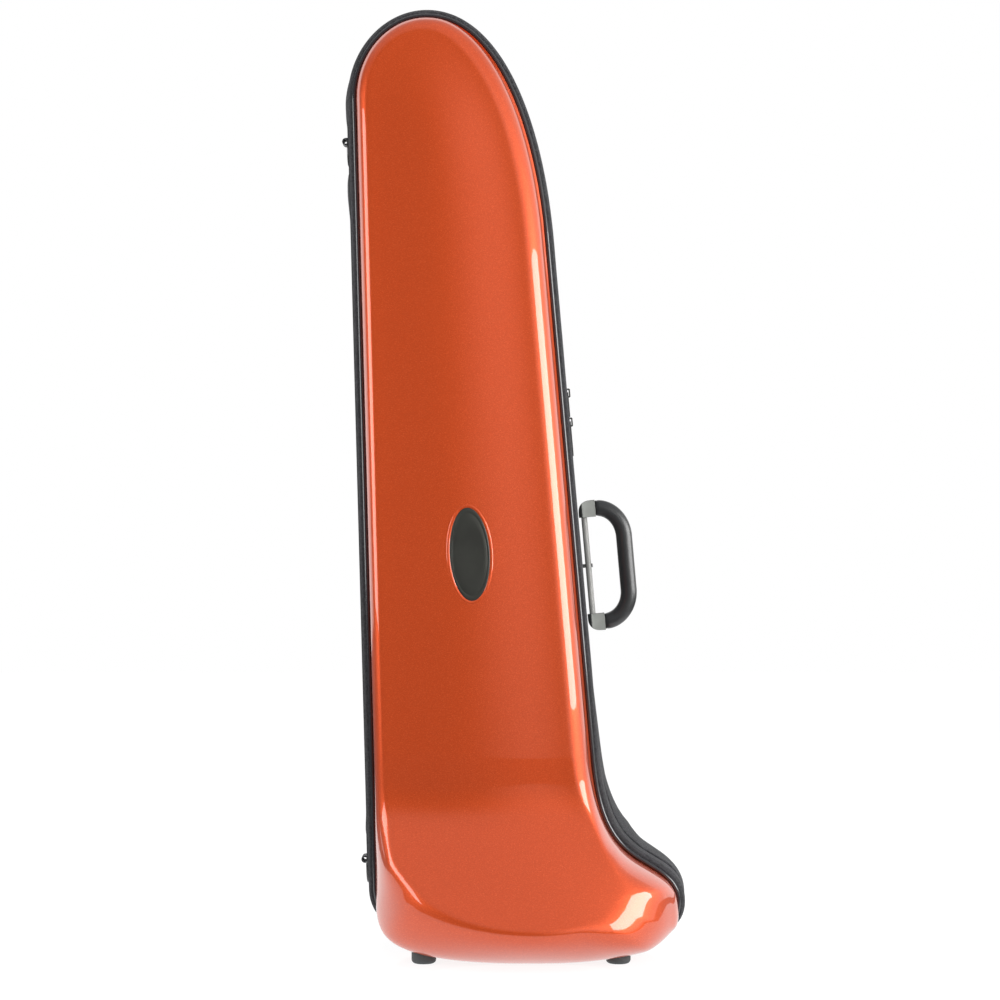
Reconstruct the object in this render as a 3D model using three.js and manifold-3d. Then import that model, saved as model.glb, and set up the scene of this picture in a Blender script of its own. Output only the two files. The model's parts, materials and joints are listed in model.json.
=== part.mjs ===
// Trombone case: a hard moulded lid hinged to a fabric-covered tray, closed by a zip.
// Millimetres. X to the right, Y to the back, Z up. The zip plane is y = 0 while the pieces are made.
import * as THREE from 'three';
import { mergeVertices } from 'three/addons/utils/BufferGeometryUtils.js';
import Module from 'manifold-3d';

const wasm = await Module();
wasm.setup();

// Rim outline seen from the front: crown, two straight sides, flare, toe and sole
const crownX = -72.5;
const crownZ = 928;
const crownTallLeft = 82;
const crownTallRight = 220;
const leftTopX = -142.4;
const leftTopZ = crownZ - crownTallLeft;
const leftFootX = -121.4;
const leftFootZ = 64;
const rightTopX = 44.6;
const rightTopZ = crownZ - crownTallRight;
const rightFootX = 89.5;
const rightFootZ = 198;
const flareX = 137;
const flareZ = 92.5;
const flareRunAngle = 31.5;
const toeX = 175;
const toeZ = 51;
const soleX = 27;
const soleZ = 15;

// How far each curve's handles reach, as shares of the curve's width or height
const roundShare = 0.5523;
const flareTopShare = 0.49;
const flareRunShare = 0.82;
const toeRunShare = 0.65;
const toeTopShare = 0.51;
const toeSoleShare = 0.78;
const soleToeShare = 0.75;
const soleHeelShare = 0.62;
const heelShare = 0.82;

// Clearances
const seatGap = 0.3;
const overrun = 5;
const weldReach = 1e-4;

// Lid shell: depths are measured forward from the zip plane
const lidWall = 3.2;
const rimDepth = 22;
const crownDepth = 52;
const waistDepth = 72;
const bellSwell = 84;
const wallDraft = 0.045;
const bellyDrop = 12.6;
const bellyTopZ = 125;
const bellyTurnShare = -0.22;
const bellyFullTurnShare = 0.95;
const shoulderLeft = 15;
const shoulderRight = 24;
const shoulderFlare = 14;
const shoulderBell = 31;
const shoulderRise = 27;
const shoulderRiseBell = 112;
const shoulderRiseFlare = 20;
const leastWallHigh = 14;
const sideTurnShare = -0.2;
const soleTurnShare = 0.8;
const flareTurnShare = 0.1;
const flareTopTurnShare = 0.8;
const faceCrown = 6;
const swellStartDrop = 22;
const swellBend = 64;
const swellFullHigh = 28;
const domeBeyond = 15;
const domeWide = 160;
const domeDeep = 105;
const domeLimit = 0.86;
const cornerWide = 28;
const cornerReach = 110;
const cornerInset = 13.4;
const cornerHigh = 23;
const cornerFocusInset = 101;
const cornerFocusHigh = 105;

// Tray shell: depths are measured back from the zip plane
const trayDepth = 90;
const trayWall = 11;
const trayBackWall = 5;
const fabricProud = 8;
const trayBulge = 2.6;
const trayBulgeDepth = 40;
const trayShoulder = 24;
const trayShoulderStart = 66;

// Lining
const liningThick = 4;
const liningSetBack = 1.2;
const bellEase = 2.8;

// Lid band, piping and zip
const bandInner = 3.2;
const bandFrontProud = 6.4;
const bandBulge = 0.9;
const bandBulgeDepth = 13;
const pipingRadius = 2;
const zipHalf = 4;
const zipSplit = 0.2;
const zipProud = 6;
const zipInner = 0.5;
const zipSetIn = 1;
const edgeEase = 0.5;
const hingeSplit = 0.3;
const hingeChamferProud = 3.9;
const hingeChamferDepth = 4.3;
const hingeEndClear = 14;
const weltRadius = 2.7;

// Badge plate and its recess
const badgeX = -29.5;
const badgeZ = 397;
const badgeWide = 39;
const badgeTall = 91;
const badgeThick = 1.4;
const badgeRecess = 1.7;
const badgeMargin = 1.6;
const badgeLean = 3.3;

// Feet
const footRadius = 12;
const footRoundShare = 0.3;
const footFrontDepth = 78;
const footRearDepth = 48;
const footLeftX = -74;
const footRightX = 115;
const footReach = 30;

// Handle
const handleZ = 382;
const handleDepth = 40;
const rodProud = 16.4;
const rodRadius = 3;
const rodBoreGap = 0.3;
const lugNose = 5.2;
const lugInnerHalf = 49;
const lugTall = 17;
const lugOuterHalf = lugInnerHalf + lugTall;
const rodSeatShare = 0.47;
const rodHalf = lugInnerHalf + rodSeatShare * lugTall;
const lugReach = 13.5;
const lugFlare = 7.6;
const lugRoundShare = 0.76;
const lugRound = lugRoundShare * lugTall;
const gripRadius = 8.2;
const gripProud = 55;
const gripStraightHalf = 27;
const collarRadius = 7.7;
const collarThick = 1.4;
const keeperHalf = 4;
const keeperWide = 5;
const keeperNub = 1.4;

// Zip sliders and pulls
const sliderUpperZ = 556;
const sliderLowerZ = 527;
const sliderHalfLength = 6.5;
const sliderHalfWide = 3.7;
const sliderPlate = 1.9;
const archTunnel = 2.6;
const archBar = 1.5;
const archHalf = 4.6;
const archHalfWide = 1.2;
const pullBarRadius = 0.85;
const pullHalfWide = 3.3;
const pullEyeHalfWide = 1.7;
const pullEyeLength = 8.5;
const pullThick = 1.5;
const pullUpperLength = 24;
const pullLowerLength = 34;

// Strap rings on the left edge
const ringUpperDrop = 116;
const ringUpperZ = crownZ - ringUpperDrop;
const ringLowerZ = 88;
const ringDepth = 34;
const ringProud = 14.2;
const ringWire = 1.8;
const ringHalfWide = 14;
const ringDrop = 9;
const tabHalfWide = 10;
const tabLoop = 1.5;
const tabLoopGap = 0.35;
const tabTail = 26;
const tabThick = 1.6;

// Back pocket with its zip
const pocketInset = 20;
const pocketDepth = 15;
const pocketRound = 9;
const pocketZipX = 28;
const pocketZipLowZ = 210;
const pocketZipDrop = 238;
const pocketZipHighZ = crownZ - pocketZipDrop;
const pocketZipHalf = 4.5;
const pocketZipThick = 1.2;
const pocketZipLean = 3.3;
const pocketSliderDrop = 50;
const pocketSliderZ = pocketZipHighZ - pocketSliderDrop;

// Inside of the tray
const channelWide = 41;
const dividerThick = 10;
const dividerFront = 10;
const dividerDrop = 56;
const dividerTopZ = crownZ - dividerDrop;
const dividerFootZ = 46;
const saddleLowZ = 240;
const saddleHighDrop = 288;
const saddleHighZ = crownZ - saddleHighDrop;
const saddleThick = 26;
const saddleFront = 24;
const saddleSlotHalf = 11;
const saddleSlotFloor = 70;
const bellX = 42;
const bellDepth = 33;
const bellRimRadius = 107;
const bellSeatTopZ = 62;
const bellSeatFootZ = 17;
const bellSeatFront = 14;
const neckBlockZ = 330;
const neckBlockThick = 32;
const neckBlockFront = 6;
const neckRadius = 26;
const neckX = 26;
const pipeRadius = 12;
const pipeX = -42;
const bowBlockDrop = 343;
const bowBlockZ = crownZ - bowBlockDrop;
const bowBlockThick = 30;
const bowBlockFront = 34;
const bowRadius = 15;
const bowX = 4;
const bowPipeX = -50;
const boxWide = 58;
const boxDrop = 260;
const boxLowZ = crownZ - boxDrop;
const boxTall = 150;
const boxFront = 24;
const boxWall = 2.5;
const boxLidThick = 2.2;
const boxPinRadius = 1.4;
const boxKnuckle = 3.2;
const boxKnuckleLong = 26;
const boxTabHalf = 9;
const boxTabReach = 4;
const boxTabThick = 1.6;
const strapWide = 32;
const strapThick = 2;
const strapRise = 5;
const strapZ = 440;
const neckStrapWide = 26;

// Bell pad in the lid
const padThick = 9;
const padHighZ = 150;
const padLowZ = 66;
const padLowX = -48;
const padHighX = 128;

// How finely the curves are divided
const crownSteps = 8;
const sideSteps = 5;
const flareSteps = 4;
const toeSteps = 4;
const soleSteps = 6;
const outerArcSteps = 4;
const innerArcSteps = 3;
const faceColumns = 5;
const backColumns = 2;
const roundSides = 16;
const smallSides = 10;

// Materials
const paint = new THREE.MeshStandardMaterial({ color: 0xc44e26, roughness: 0.18, metalness: 0.35 });
const cloth = new THREE.MeshStandardMaterial({ color: 0x303238, roughness: 0.9, metalness: 0 });
const gloss = new THREE.MeshStandardMaterial({ color: 0x17161a, roughness: 0.25, metalness: 0 });
const rubber = new THREE.MeshStandardMaterial({ color: 0x26272a, roughness: 0.55, metalness: 0 });
const lugGrey = new THREE.MeshStandardMaterial({ color: 0xb4b6b4, roughness: 0.5, metalness: 0.1 });
const steel = new THREE.MeshStandardMaterial({ color: 0xb9bbba, roughness: 0.3, metalness: 0.9 });
const zipBlack = new THREE.MeshStandardMaterial({ color: 0x1c1c1f, roughness: 0.45, metalness: 0.2 });
const plush = new THREE.MeshStandardMaterial({ color: 0x3a3b40, roughness: 1, metalness: 0 });
const foam = new THREE.MeshStandardMaterial({ color: 0x44464c, roughness: 1, metalness: 0 });
const webbing = new THREE.MeshStandardMaterial({ color: 0x202125, roughness: 0.85, metalness: 0 });
const plate = new THREE.MeshStandardMaterial({ color: 0x3f403b, roughness: 0.35, metalness: 0.6 });
const plastic = new THREE.MeshStandardMaterial({ color: 0x2b2c30, roughness: 0.4, metalness: 0 });

// Solids from closed geometry, and back
function toSolid(geometry) {
  const bare = geometry.clone();
  bare.deleteAttribute('normal');
  bare.deleteAttribute('uv');
  const merged = mergeVertices(bare, weldReach);
  return new wasm.Manifold(new wasm.Mesh({
    numProp: 3,
    vertProperties: new Float32Array(merged.attributes.position.array),
    triVerts: new Uint32Array(merged.index.array),
  }));
}

function toGeometry(solid) {
  const mesh = solid.getMesh();
  const geometry = new THREE.BufferGeometry();
  const places = new Float32Array(mesh.vertProperties);
  geometry.setAttribute('position', new THREE.BufferAttribute(places, mesh.numProp));
  geometry.setIndex(new THREE.BufferAttribute(new Uint32Array(mesh.triVerts), 1));
  geometry.computeVertexNormals();
  return geometry;
}

// A solid of the world, seen from inside a group
function solidIn(group, solid) {
  group.updateWorldMatrix(true, false);
  return solid.transform([...group.matrixWorld.clone().invert().elements]);
}

function join(...geometries) {
  return toGeometry(geometries.map(toSolid).reduce((sum, solid) => sum.add(solid)));
}

function cut(geometry, ...cutters) {
  return toGeometry(cutters.map(toSolid).reduce((rest, solid) => rest.subtract(solid), toSolid(geometry)));
}

// Shapes drawn on a plane and pushed along the third axis
const alongY = new THREE.Matrix4().makeBasis(
  new THREE.Vector3(1, 0, 0), new THREE.Vector3(0, 0, 1), new THREE.Vector3(0, -1, 0));
const alongX = new THREE.Matrix4().makeBasis(
  new THREE.Vector3(0, 1, 0), new THREE.Vector3(0, 0, 1), new THREE.Vector3(1, 0, 0));

function push(shape, length, curveSegments = smallSides) {
  return new THREE.ExtrudeGeometry(shape, { depth: length, bevelEnabled: false, curveSegments });
}

// A shape in x and z that reaches from y = low to y = high
function prismY(shape, low, high, curveSegments) {
  return push(shape, high - low, curveSegments).applyMatrix4(alongY).translate(0, high, 0);
}

// A shape in y and z that reaches from x = low to x = high
function prismX(shape, low, high, curveSegments) {
  return push(shape, high - low, curveSegments).applyMatrix4(alongX).translate(low, 0, 0);
}

// A shape in x and y that reaches from z = low to z = high
function prismZ(shape, low, high, curveSegments) {
  return push(shape, high - low, curveSegments).translate(0, 0, low);
}

function boxBetween(lowX, highX, lowY, highY, lowZ, highZ) {
  const box = new THREE.BoxGeometry(highX - lowX, highY - lowY, highZ - lowZ);
  return box.translate((lowX + highX) / 2, (lowY + highY) / 2, (lowZ + highZ) / 2);
}

function rodZ(radius, low, high, sides = roundSides) {
  const rod = new THREE.CylinderGeometry(radius, radius, high - low, sides);
  return rod.rotateX(Math.PI / 2).translate(0, 0, (low + high) / 2);
}

function rodY(radius, low, high, sides = roundSides) {
  return new THREE.CylinderGeometry(radius, radius, high - low, sides).translate(0, (low + high) / 2, 0);
}

// The rim outline
const point = (x, z) => new THREE.Vector2(x, z);
const crown = point(crownX, crownZ);
const leftTop = point(leftTopX, leftTopZ);
const leftFoot = point(leftFootX, leftFootZ);
const rightTop = point(rightTopX, rightTopZ);
const rightFoot = point(rightFootX, rightFootZ);
const flare = point(flareX, flareZ);
const toe = point(toeX, toeZ);
const sole = point(soleX, soleZ);
const leftUp = leftTop.clone().sub(leftFoot).normalize();
const rightUp = rightTop.clone().sub(rightFoot).normalize();
const flareRun = point(Math.cos(THREE.MathUtils.degToRad(flareRunAngle)),
  -Math.sin(THREE.MathUtils.degToRad(flareRunAngle)));

function handle(from, direction, length) {
  return from.clone().addScaledVector(direction, length);
}

const across = point(1, 0);
const up = point(0, 1);

function curve(from, fromHandle, toHandle, to) {
  return new THREE.CubicBezierCurve(from, fromHandle, toHandle, to);
}

const rightCrown = curve(crown,
  handle(crown, across, roundShare * (rightTopX - crownX)),
  handle(rightTop, rightUp, roundShare * (crownZ - rightTopZ)), rightTop);
const rightSide = new THREE.LineCurve(rightTop, rightFoot);
const rightFlare = curve(rightFoot,
  handle(rightFoot, rightUp, -flareTopShare * (rightFootZ - flareZ)),
  handle(flare, flareRun, -flareRunShare * (flareX - rightFootX)), flare);
const rightToe = curve(flare,
  handle(flare, flareRun, toeRunShare * (toeX - flareX)),
  handle(toe, up, toeTopShare * (flareZ - toeZ)), toe);
const rightSole = curve(toe,
  handle(toe, up, -toeSoleShare * (toeZ - soleZ)),
  handle(sole, across, soleToeShare * (toeX - soleX)), sole);
const leftCrown = curve(crown,
  handle(crown, across, -roundShare * (crownX - leftTopX)),
  handle(leftTop, leftUp, roundShare * (crownZ - leftTopZ)), leftTop);
const leftSide = new THREE.LineCurve(leftTop, leftFoot);
const leftSole = curve(leftFoot,
  handle(leftFoot, leftUp, -heelShare * (leftFootZ - soleZ)),
  handle(sole, across, -soleHeelShare * (soleX - leftFootX)), sole);

const fineSteps = 80;

function fineEdge(curves) {
  return curves.flatMap((part, index) => part.getPoints(fineSteps).slice(index ? 1 : 0));
}

const fineRight = fineEdge([rightCrown, rightSide, rightFlare, rightToe, rightSole]);
const fineLeft = fineEdge([leftCrown, leftSide, leftSole]);

// Place and outward normal of an edge at a height
function edgeAt(edge, z, outward) {
  let k = 1;
  while (k < edge.length - 1 && edge[k].y > z) k += 1;
  const upper = edge[k - 1];
  const lower = edge[k];
  const share = THREE.MathUtils.clamp((upper.y - z) / (upper.y - lower.y), 0, 1);
  const place = upper.clone().lerp(lower, share);
  const run = lower.clone().sub(upper).normalize();
  return { place, normal: point(-run.y * outward, run.x * outward) };
}

// Points down the right edge, and the points at the same heights on the left
function rightSamples() {
  const parts = [[rightCrown, crownSteps], [rightSide, sideSteps], [rightFlare, flareSteps],
    [rightToe, toeSteps], [rightSole, soleSteps]];
  return parts.flatMap(([part, steps]) => part.getPoints(steps).slice(1)).slice(0, -1);
}

const rowHeights = rightSamples().map((place) => place.y);
const rowCount = rowHeights.length;
const rim = [{ place: crown, normal: point(0, 1) }];
for (const z of rowHeights) rim.push(edgeAt(fineRight, z, 1));
rim.push({ place: sole, normal: point(0, -1) });
for (const z of [...rowHeights].reverse()) rim.push(edgeAt(fineLeft, z, -1));
const rimCount = rim.length;
const soleIndex = rowCount + 1;

// The heel corner, where the face's outline is rounder than the rim: its share is 1 at the corner itself
const corner = point(leftFootX + cornerInset, soleZ + cornerHigh);
const cornerFocus = point(leftFootX + cornerFocusInset, soleZ + cornerFocusHigh);
const cornerShare = (place) => 1 - THREE.MathUtils.smoothstep(place.distanceTo(corner), 0, cornerReach);

// The way the lid's shoulder runs in from each rim point: along the normal, and round the corner to its focus
for (const entry of rim) {
  const fromFocus = entry.place.clone().sub(cornerFocus).normalize();
  entry.fold = entry.normal.clone().lerp(fromFocus, cornerShare(entry.place)).normalize();
}

// The face's swell over the bell: it bends forward, then runs on at an even slope, its share 1 at full depth
const swellStartZ = rightFootZ - swellStartDrop;
const swellEvenZ = swellStartZ - swellBend;
const swellFullZ = soleZ + swellFullHigh;

function swellShare(z) {
  const bent = THREE.MathUtils.clamp((swellStartZ - z) / swellBend, 0, 1);
  const run = swellBend * (bent ** 3 - bent ** 4 / 2) + Math.max(swellEvenZ - z, 0);
  return run / (swellBend / 2 + swellEvenZ - swellFullZ);
}

// How far the swell falls back on the right, where it follows the bell's round
function domeFall(x) {
  const across = THREE.MathUtils.clamp((x - toeX - domeBeyond) / domeWide + 1, 0, domeLimit);
  return domeDeep * (1 - Math.sqrt(1 - across * across));
}

// Depth of the lid's front face
function faceDepth(x, z) {
  const fall = Math.min((crownZ - z) / (crownZ - rightFootZ), 1);
  return crownDepth + (waistDepth - crownDepth) * fall + swellShare(z) * (bellSwell - domeFall(x));
}

// How far the lid's shoulder reaches in and how high it rises: tight on the flare, long over the sole
function shoulderAt(place, normal) {
  const { lerp, smoothstep } = THREE.MathUtils;
  const swell = Math.min(swellShare(place.y), 1);
  const heel = cornerShare(place);
  const flare = place.y < rightFootZ ? smoothstep(normal.y, flareTurnShare, flareTopTurnShare) : 0;
  const under = Math.max(smoothstep(-normal.y, sideTurnShare, soleTurnShare), Math.min(2 * heel, 1));
  const upper = lerp(shoulderLeft, shoulderRight, (normal.x + 1) / 2);
  const wide = lerp(lerp(upper, shoulderBell, swell), shoulderFlare, flare) + cornerWide * heel;
  const free = lerp(lerp(shoulderRise, shoulderRiseBell, swell * under), shoulderRiseFlare, flare);
  const most = faceDepth(place.x, place.y) - rimDepth - leastWallHigh;
  return { wide, rise: free * most / Math.hypot(free ** 2, most ** 2) ** (1 / 2) };
}

// How much of the belly's drop a rim point has: all of it under the sole, none where the rim faces sideways
function bellyShare(place, normal) {
  const { smoothstep } = THREE.MathUtils;
  return (1 - smoothstep(place.y, soleZ, bellyTopZ)) * smoothstep(-normal.y, bellyTurnShare, bellyFullTurnShare);
}

// A ring of points round the rim: inset is taken straight in, slide along the fold, y is the place in depth
function ring(profile) {
  return rim.map(({ place, normal, fold }, index) => {
    const { inset, slide = 0, y } = profile(place, normal, index);
    const moved = handle(handle(place, normal, -inset), fold, -slide);
    return new THREE.Vector3(moved.x, typeof y === 'function' ? y(moved) : y, moved.y);
  });
}

// Rings of the lid's surface, at a depth below its outer skin; ease is a further depth at the swell
function lidRings(skin, arcSteps, backY, ease = 0) {
  const rings = [];
  const shape = (place, normal) => {
    const { wide, rise } = shoulderAt(place, normal);
    const wallHigh = faceDepth(place.x, place.y) - rise;
    const lean = wallDraft * (wallHigh - rimDepth) - bellyDrop * bellyShare(place, normal);
    return { wide: wide - skin, rise: rise - skin, lean };
  };
  if (backY > -rimDepth) rings.push(ring(() => ({ inset: skin, y: backY })));
  rings.push(ring(() => ({ inset: skin, y: -rimDepth })));
  rings.push(ring(() => ({ inset: skin, y: -(rimDepth + 2 * pipingRadius + seatGap) })));
  for (let step = 0; step <= arcSteps; step += 1) {
    const angle = (step / arcSteps) * Math.PI / 2;
    rings.push(ring((place, normal) => {
      const { wide, rise, lean } = shape(place, normal);
      const slide = lean + wide * (1 - Math.cos(angle));
      const high = Math.sin(angle);
      const top = (moved) => faceDepth(moved.x, moved.y) - skin - ease * high * swellShare(moved.y);
      return { inset: skin, slide, y: (moved) => -(top(moved) - rise + rise * high) };
    }));
  }
  return rings;
}

// Rings of the tray's inside and of all that lies against it
function trayInnerRings(skin, arcSteps, frontY) {
  const round = trayShoulder - trayWall / 2 - skin;
  const floor = trayDepth - trayBackWall - skin;
  const rings = [ring(() => ({ inset: bandInner + skin, y: frontY }))];
  for (let step = 0; step <= arcSteps; step += 1) {
    const angle = (step / arcSteps) * Math.PI / 2;
    rings.push(ring(() => ({
      inset: bandInner + skin + round * (1 - Math.cos(angle)),
      y: floor - round + round * Math.sin(angle),
    })));
  }
  return rings;
}

// Triangles of lofted rings
class Skin {
  constructor() {
    this.places = [];
    this.triangles = [];
  }

  add(place) {
    this.places.push(place);
    return this.places.length - 1;
  }

  addRing(places) {
    return places.map((place) => this.add(place));
  }

  quad(a, b, c, d) {
    this.triangles.push([a, b, c], [a, c, d]);
  }

  strip(first, second, closed = true) {
    const count = first.length;
    const last = closed ? count : count - 1;
    for (let k = 0; k < last; k += 1) {
      const next = (k + 1) % count;
      this.quad(first[k], first[next], second[next], second[k]);
    }
  }

  // Rows from the left edge of a ring to its right edge; depthAt gives y at a place and a share across
  face(edge, columns, depthAt) {
    const rows = [];
    for (let row = 1; row <= rowCount; row += 1) {
      const right = this.places[edge[row]];
      const left = this.places[edge[rimCount - row]];
      const cells = [edge[rimCount - row]];
      for (let column = 1; column < columns; column += 1) {
        const place = left.clone().lerp(right, column / columns);
        place.y = depthAt(place, 2 * column / columns - 1);
        cells.push(this.add(place));
      }
      cells.push(edge[row]);
      rows.push(cells);
    }
    for (let column = 0; column < columns; column += 1) {
      this.triangles.push([edge[0], rows[0][column + 1], rows[0][column]]);
      for (let row = 1; row < rowCount; row += 1) {
        const above = rows[row - 1];
        const below = rows[row];
        this.quad(above[column], above[column + 1], below[column + 1], below[column]);
      }
      this.triangles.push([edge[soleIndex], rows[rowCount - 1][column], rows[rowCount - 1][column + 1]]);
    }
  }

  // Triangles that a step adds, wound the other way round
  turned(step) {
    const from = this.triangles.length;
    step();
    for (let k = from; k < this.triangles.length; k += 1) this.triangles[k].reverse();
  }

  geometry() {
    const flat = (list) => new Float32Array(list.flatMap((place) => [place.x, place.y, place.z]));
    let volume = 0;
    for (const [a, b, c] of this.triangles) {
      volume += this.places[a].dot(this.places[b].clone().cross(this.places[c]));
    }
    const faces = volume < 0 ? this.triangles.map((face) => [...face].reverse()) : this.triangles;
    const geometry = new THREE.BufferGeometry();
    geometry.setAttribute('position', new THREE.BufferAttribute(flat(this.places), 3));
    geometry.setIndex(faces.flat());
    geometry.computeVertexNormals();
    return geometry;
  }
}

// A hollow shell: outer rings and a face, inner rings and a face, joined along the rim
function shell(outer, outerFace, inner, innerFace) {
  const skin = new Skin();
  const outerRings = outer.map((places) => skin.addRing(places));
  const innerRings = inner.map((places) => skin.addRing(places));
  for (let k = 1; k < outerRings.length; k += 1) skin.strip(outerRings[k - 1], outerRings[k]);
  skin.turned(() => {
    for (let k = 1; k < innerRings.length; k += 1) skin.strip(innerRings[k - 1], innerRings[k]);
  });
  skin.strip(innerRings[0], outerRings[0]);
  skin.face(outerRings.at(-1), outerFace.columns, outerFace.depthAt);
  skin.turned(() => skin.face(innerRings.at(-1), innerFace.columns, innerFace.depthAt));
  return skin.geometry();
}

// A filled body between two faces
function filled(rings, firstFace, lastFace) {
  const skin = new Skin();
  const all = rings.map((places) => skin.addRing(places));
  for (let k = 1; k < all.length; k += 1) skin.strip(all[k - 1], all[k]);
  skin.turned(() => skin.face(all[0], firstFace.columns, firstFace.depthAt));
  skin.face(all.at(-1), lastFace.columns, lastFace.depthAt);
  return skin.geometry();
}

// A hoop whose section is the closed chain of rings
function hoop(rings) {
  const skin = new Skin();
  const all = rings.map((places) => skin.addRing(places));
  all.forEach((places, k) => skin.strip(places, all[(k + 1) % all.length]));
  return skin.geometry();
}

// A part of a hoop that leaves out the straight left side
function openHoop(rings, from, to) {
  const order = [];
  for (let k = from; k <= to; k += 1) order.push(k % rimCount);
  const skin = new Skin();
  const all = rings.map((places) => skin.addRing(order.map((k) => places[k])));
  all.forEach((places, k) => skin.strip(places, all[(k + 1) % all.length], false));
  for (let k = 1; k < all.length - 1; k += 1) {
    skin.triangles.push([all[0][0], all[k][0], all[k + 1][0]]);
    skin.triangles.push([all[0].at(-1), all[k + 1].at(-1), all[k].at(-1)]);
  }
  return skin.geometry();
}

// A tube along a closed path in space
function closedTube(path, radius, sides, normal) {
  const skin = new Skin();
  const rings = path.map((place, k) => {
    const next = path[(k + 1) % path.length];
    const last = path[(k + path.length - 1) % path.length];
    const run = next.clone().sub(last).normalize();
    const side = run.clone().cross(normal).normalize();
    const places = [];
    for (let s = 0; s < sides; s += 1) {
      const angle = 2 * Math.PI * s / sides;
      places.push(place.clone().addScaledVector(side, radius * Math.cos(angle))
        .addScaledVector(normal, radius * Math.sin(angle)));
    }
    return skin.addRing(places);
  });
  rings.forEach((places, k) => skin.strip(places, rings[(k + 1) % rings.length]));
  return skin.geometry();
}

// The scene graph
const trombone_case = new THREE.Group();
const work = new THREE.Group();
trombone_case.add(work);

function add(parent, name, geometry, material) {
  const mesh = new THREE.Mesh(geometry, material);
  mesh.name = name;
  parent.add(mesh);
  return mesh;
}

// A group on a straight side: its X points out of the case to the right, its Z runs up the side
function sideFrame(edge, runUp, z) {
  const frame = new THREE.Group();
  const { place } = edgeAt(edge, z, 1);
  frame.position.set(place.x, 0, place.y);
  frame.rotation.y = Math.atan2(runUp.x, runUp.y);
  work.add(frame);
  return frame;
}

// Which points of the rim belong to the hinge: the straight left side
const hingeLow = leftFootZ + hingeEndClear;
const hingeHigh = leftTopZ - hingeEndClear;
const betweenHingeEnds = (z) => z > hingeLow && z < hingeHigh;
const onHinge = (index) => index > soleIndex && betweenHingeEnds(rim[index].place.y);
const hingeIndices = rim.map((_, index) => index).filter(onHinge);
const zipFrom = hingeIndices.at(-1) + 1;
const zipTo = rimCount + hingeIndices[0] - 1;

const faceY = (skin, ease = 0) => ({ x, z }, across) => (
  -(faceDepth(x, z) - skin - ease * swellShare(z) + faceCrown * (1 - across * across)));

// Lid
function lidShell() {
  const outer = lidRings(0, outerArcSteps, -rimDepth);
  const inner = lidRings(lidWall, innerArcSteps, -rimDepth);
  const body = shell(outer, { columns: faceColumns, depthAt: faceY(0) },
    inner, { columns: faceColumns, depthAt: faceY(lidWall) });
  return toGeometry(toSolid(body).subtract(toSolid(badgeBody(badgeMargin, badgeRecess, overrun))));
}

// An oval disc on the front face: it reaches below the skin by sunk and stands out by proud
function badgeBody(margin, sunk, proud) {
  const oval = new THREE.Shape();
  oval.absellipse(0, 0, badgeWide / 2 + margin, badgeTall / 2 + margin, 0, 2 * Math.PI);
  const sides = 14;
  const disc = prismY(oval, -proud, sunk, sides);
  const slope = Math.atan((waistDepth - crownDepth) / (crownZ - rightFootZ));
  disc.rotateX(-slope);
  disc.rotateY(THREE.MathUtils.degToRad(-badgeLean));
  const frontY = faceY(0)({ x: badgeX, z: badgeZ }, 2 * (badgeX - edgeAt(fineLeft, badgeZ, 1).place.x)
    / (edgeAt(fineRight, badgeZ, 1).place.x - edgeAt(fineLeft, badgeZ, 1).place.x) - 1);
  return disc.translate(badgeX, frontY, badgeZ);
}

function lidLining() {
  const skin = lidWall + seatGap;
  const outer = lidRings(skin, innerArcSteps, -liningSetBack, bellEase);
  const inner = lidRings(skin + liningThick, innerArcSteps, -liningSetBack, bellEase);
  return shell(outer, { columns: faceColumns, depthAt: faceY(skin, bellEase) },
    inner, { columns: faceColumns, depthAt: faceY(skin + liningThick, bellEase) });
}

// The band behind the piping: a chamfer leaves room for the welt along the hinge
function lidBand() {
  const edge = (index) => (onHinge(index) ? hingeSplit : zipHalf + seatGap);
  const front = -(rimDepth - seatGap);
  return hoop([
    ring((place, normal, index) => ({ inset: bandInner, y: -edge(index) })),
    ring((place, normal, index) => ({
      inset: onHinge(index) ? -hingeChamferProud : -(fabricProud - edgeEase), y: -edge(index),
    })),
    ring((place, normal, index) => ({
      inset: -fabricProud, y: onHinge(index) ? -hingeChamferDepth : -(edge(index) + edgeEase),
    })),
    ring(() => ({ inset: -(fabricProud + bandBulge), y: -bandBulgeDepth })),
    ring(() => ({ inset: -bandFrontProud, y: front })),
    ring(() => ({ inset: bandInner, y: front })),
  ]);
}

function piping() {
  const sides = 6;
  const rings = [];
  for (let side = 0; side < sides; side += 1) {
    const angle = 2 * Math.PI * side / sides;
    rings.push(ring(() => ({
      inset: -(pipingRadius + seatGap + pipingRadius * Math.cos(angle)),
      y: -(rimDepth + pipingRadius + pipingRadius * Math.sin(angle)),
    })));
  }
  return hoop(rings);
}

// One half of the zip: side is -1 on the lid and 1 on the tray
function zipSide(side) {
  const near = side * zipSplit;
  const far = side * zipHalf;
  return openHoop([
    ring(() => ({ inset: -zipInner, y: near })),
    ring(() => ({ inset: -zipProud, y: near })),
    ring(() => ({ inset: -(zipProud - zipSetIn), y: far })),
    ring(() => ({ inset: -zipInner, y: far })),
  ], zipFrom, zipTo);
}

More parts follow.
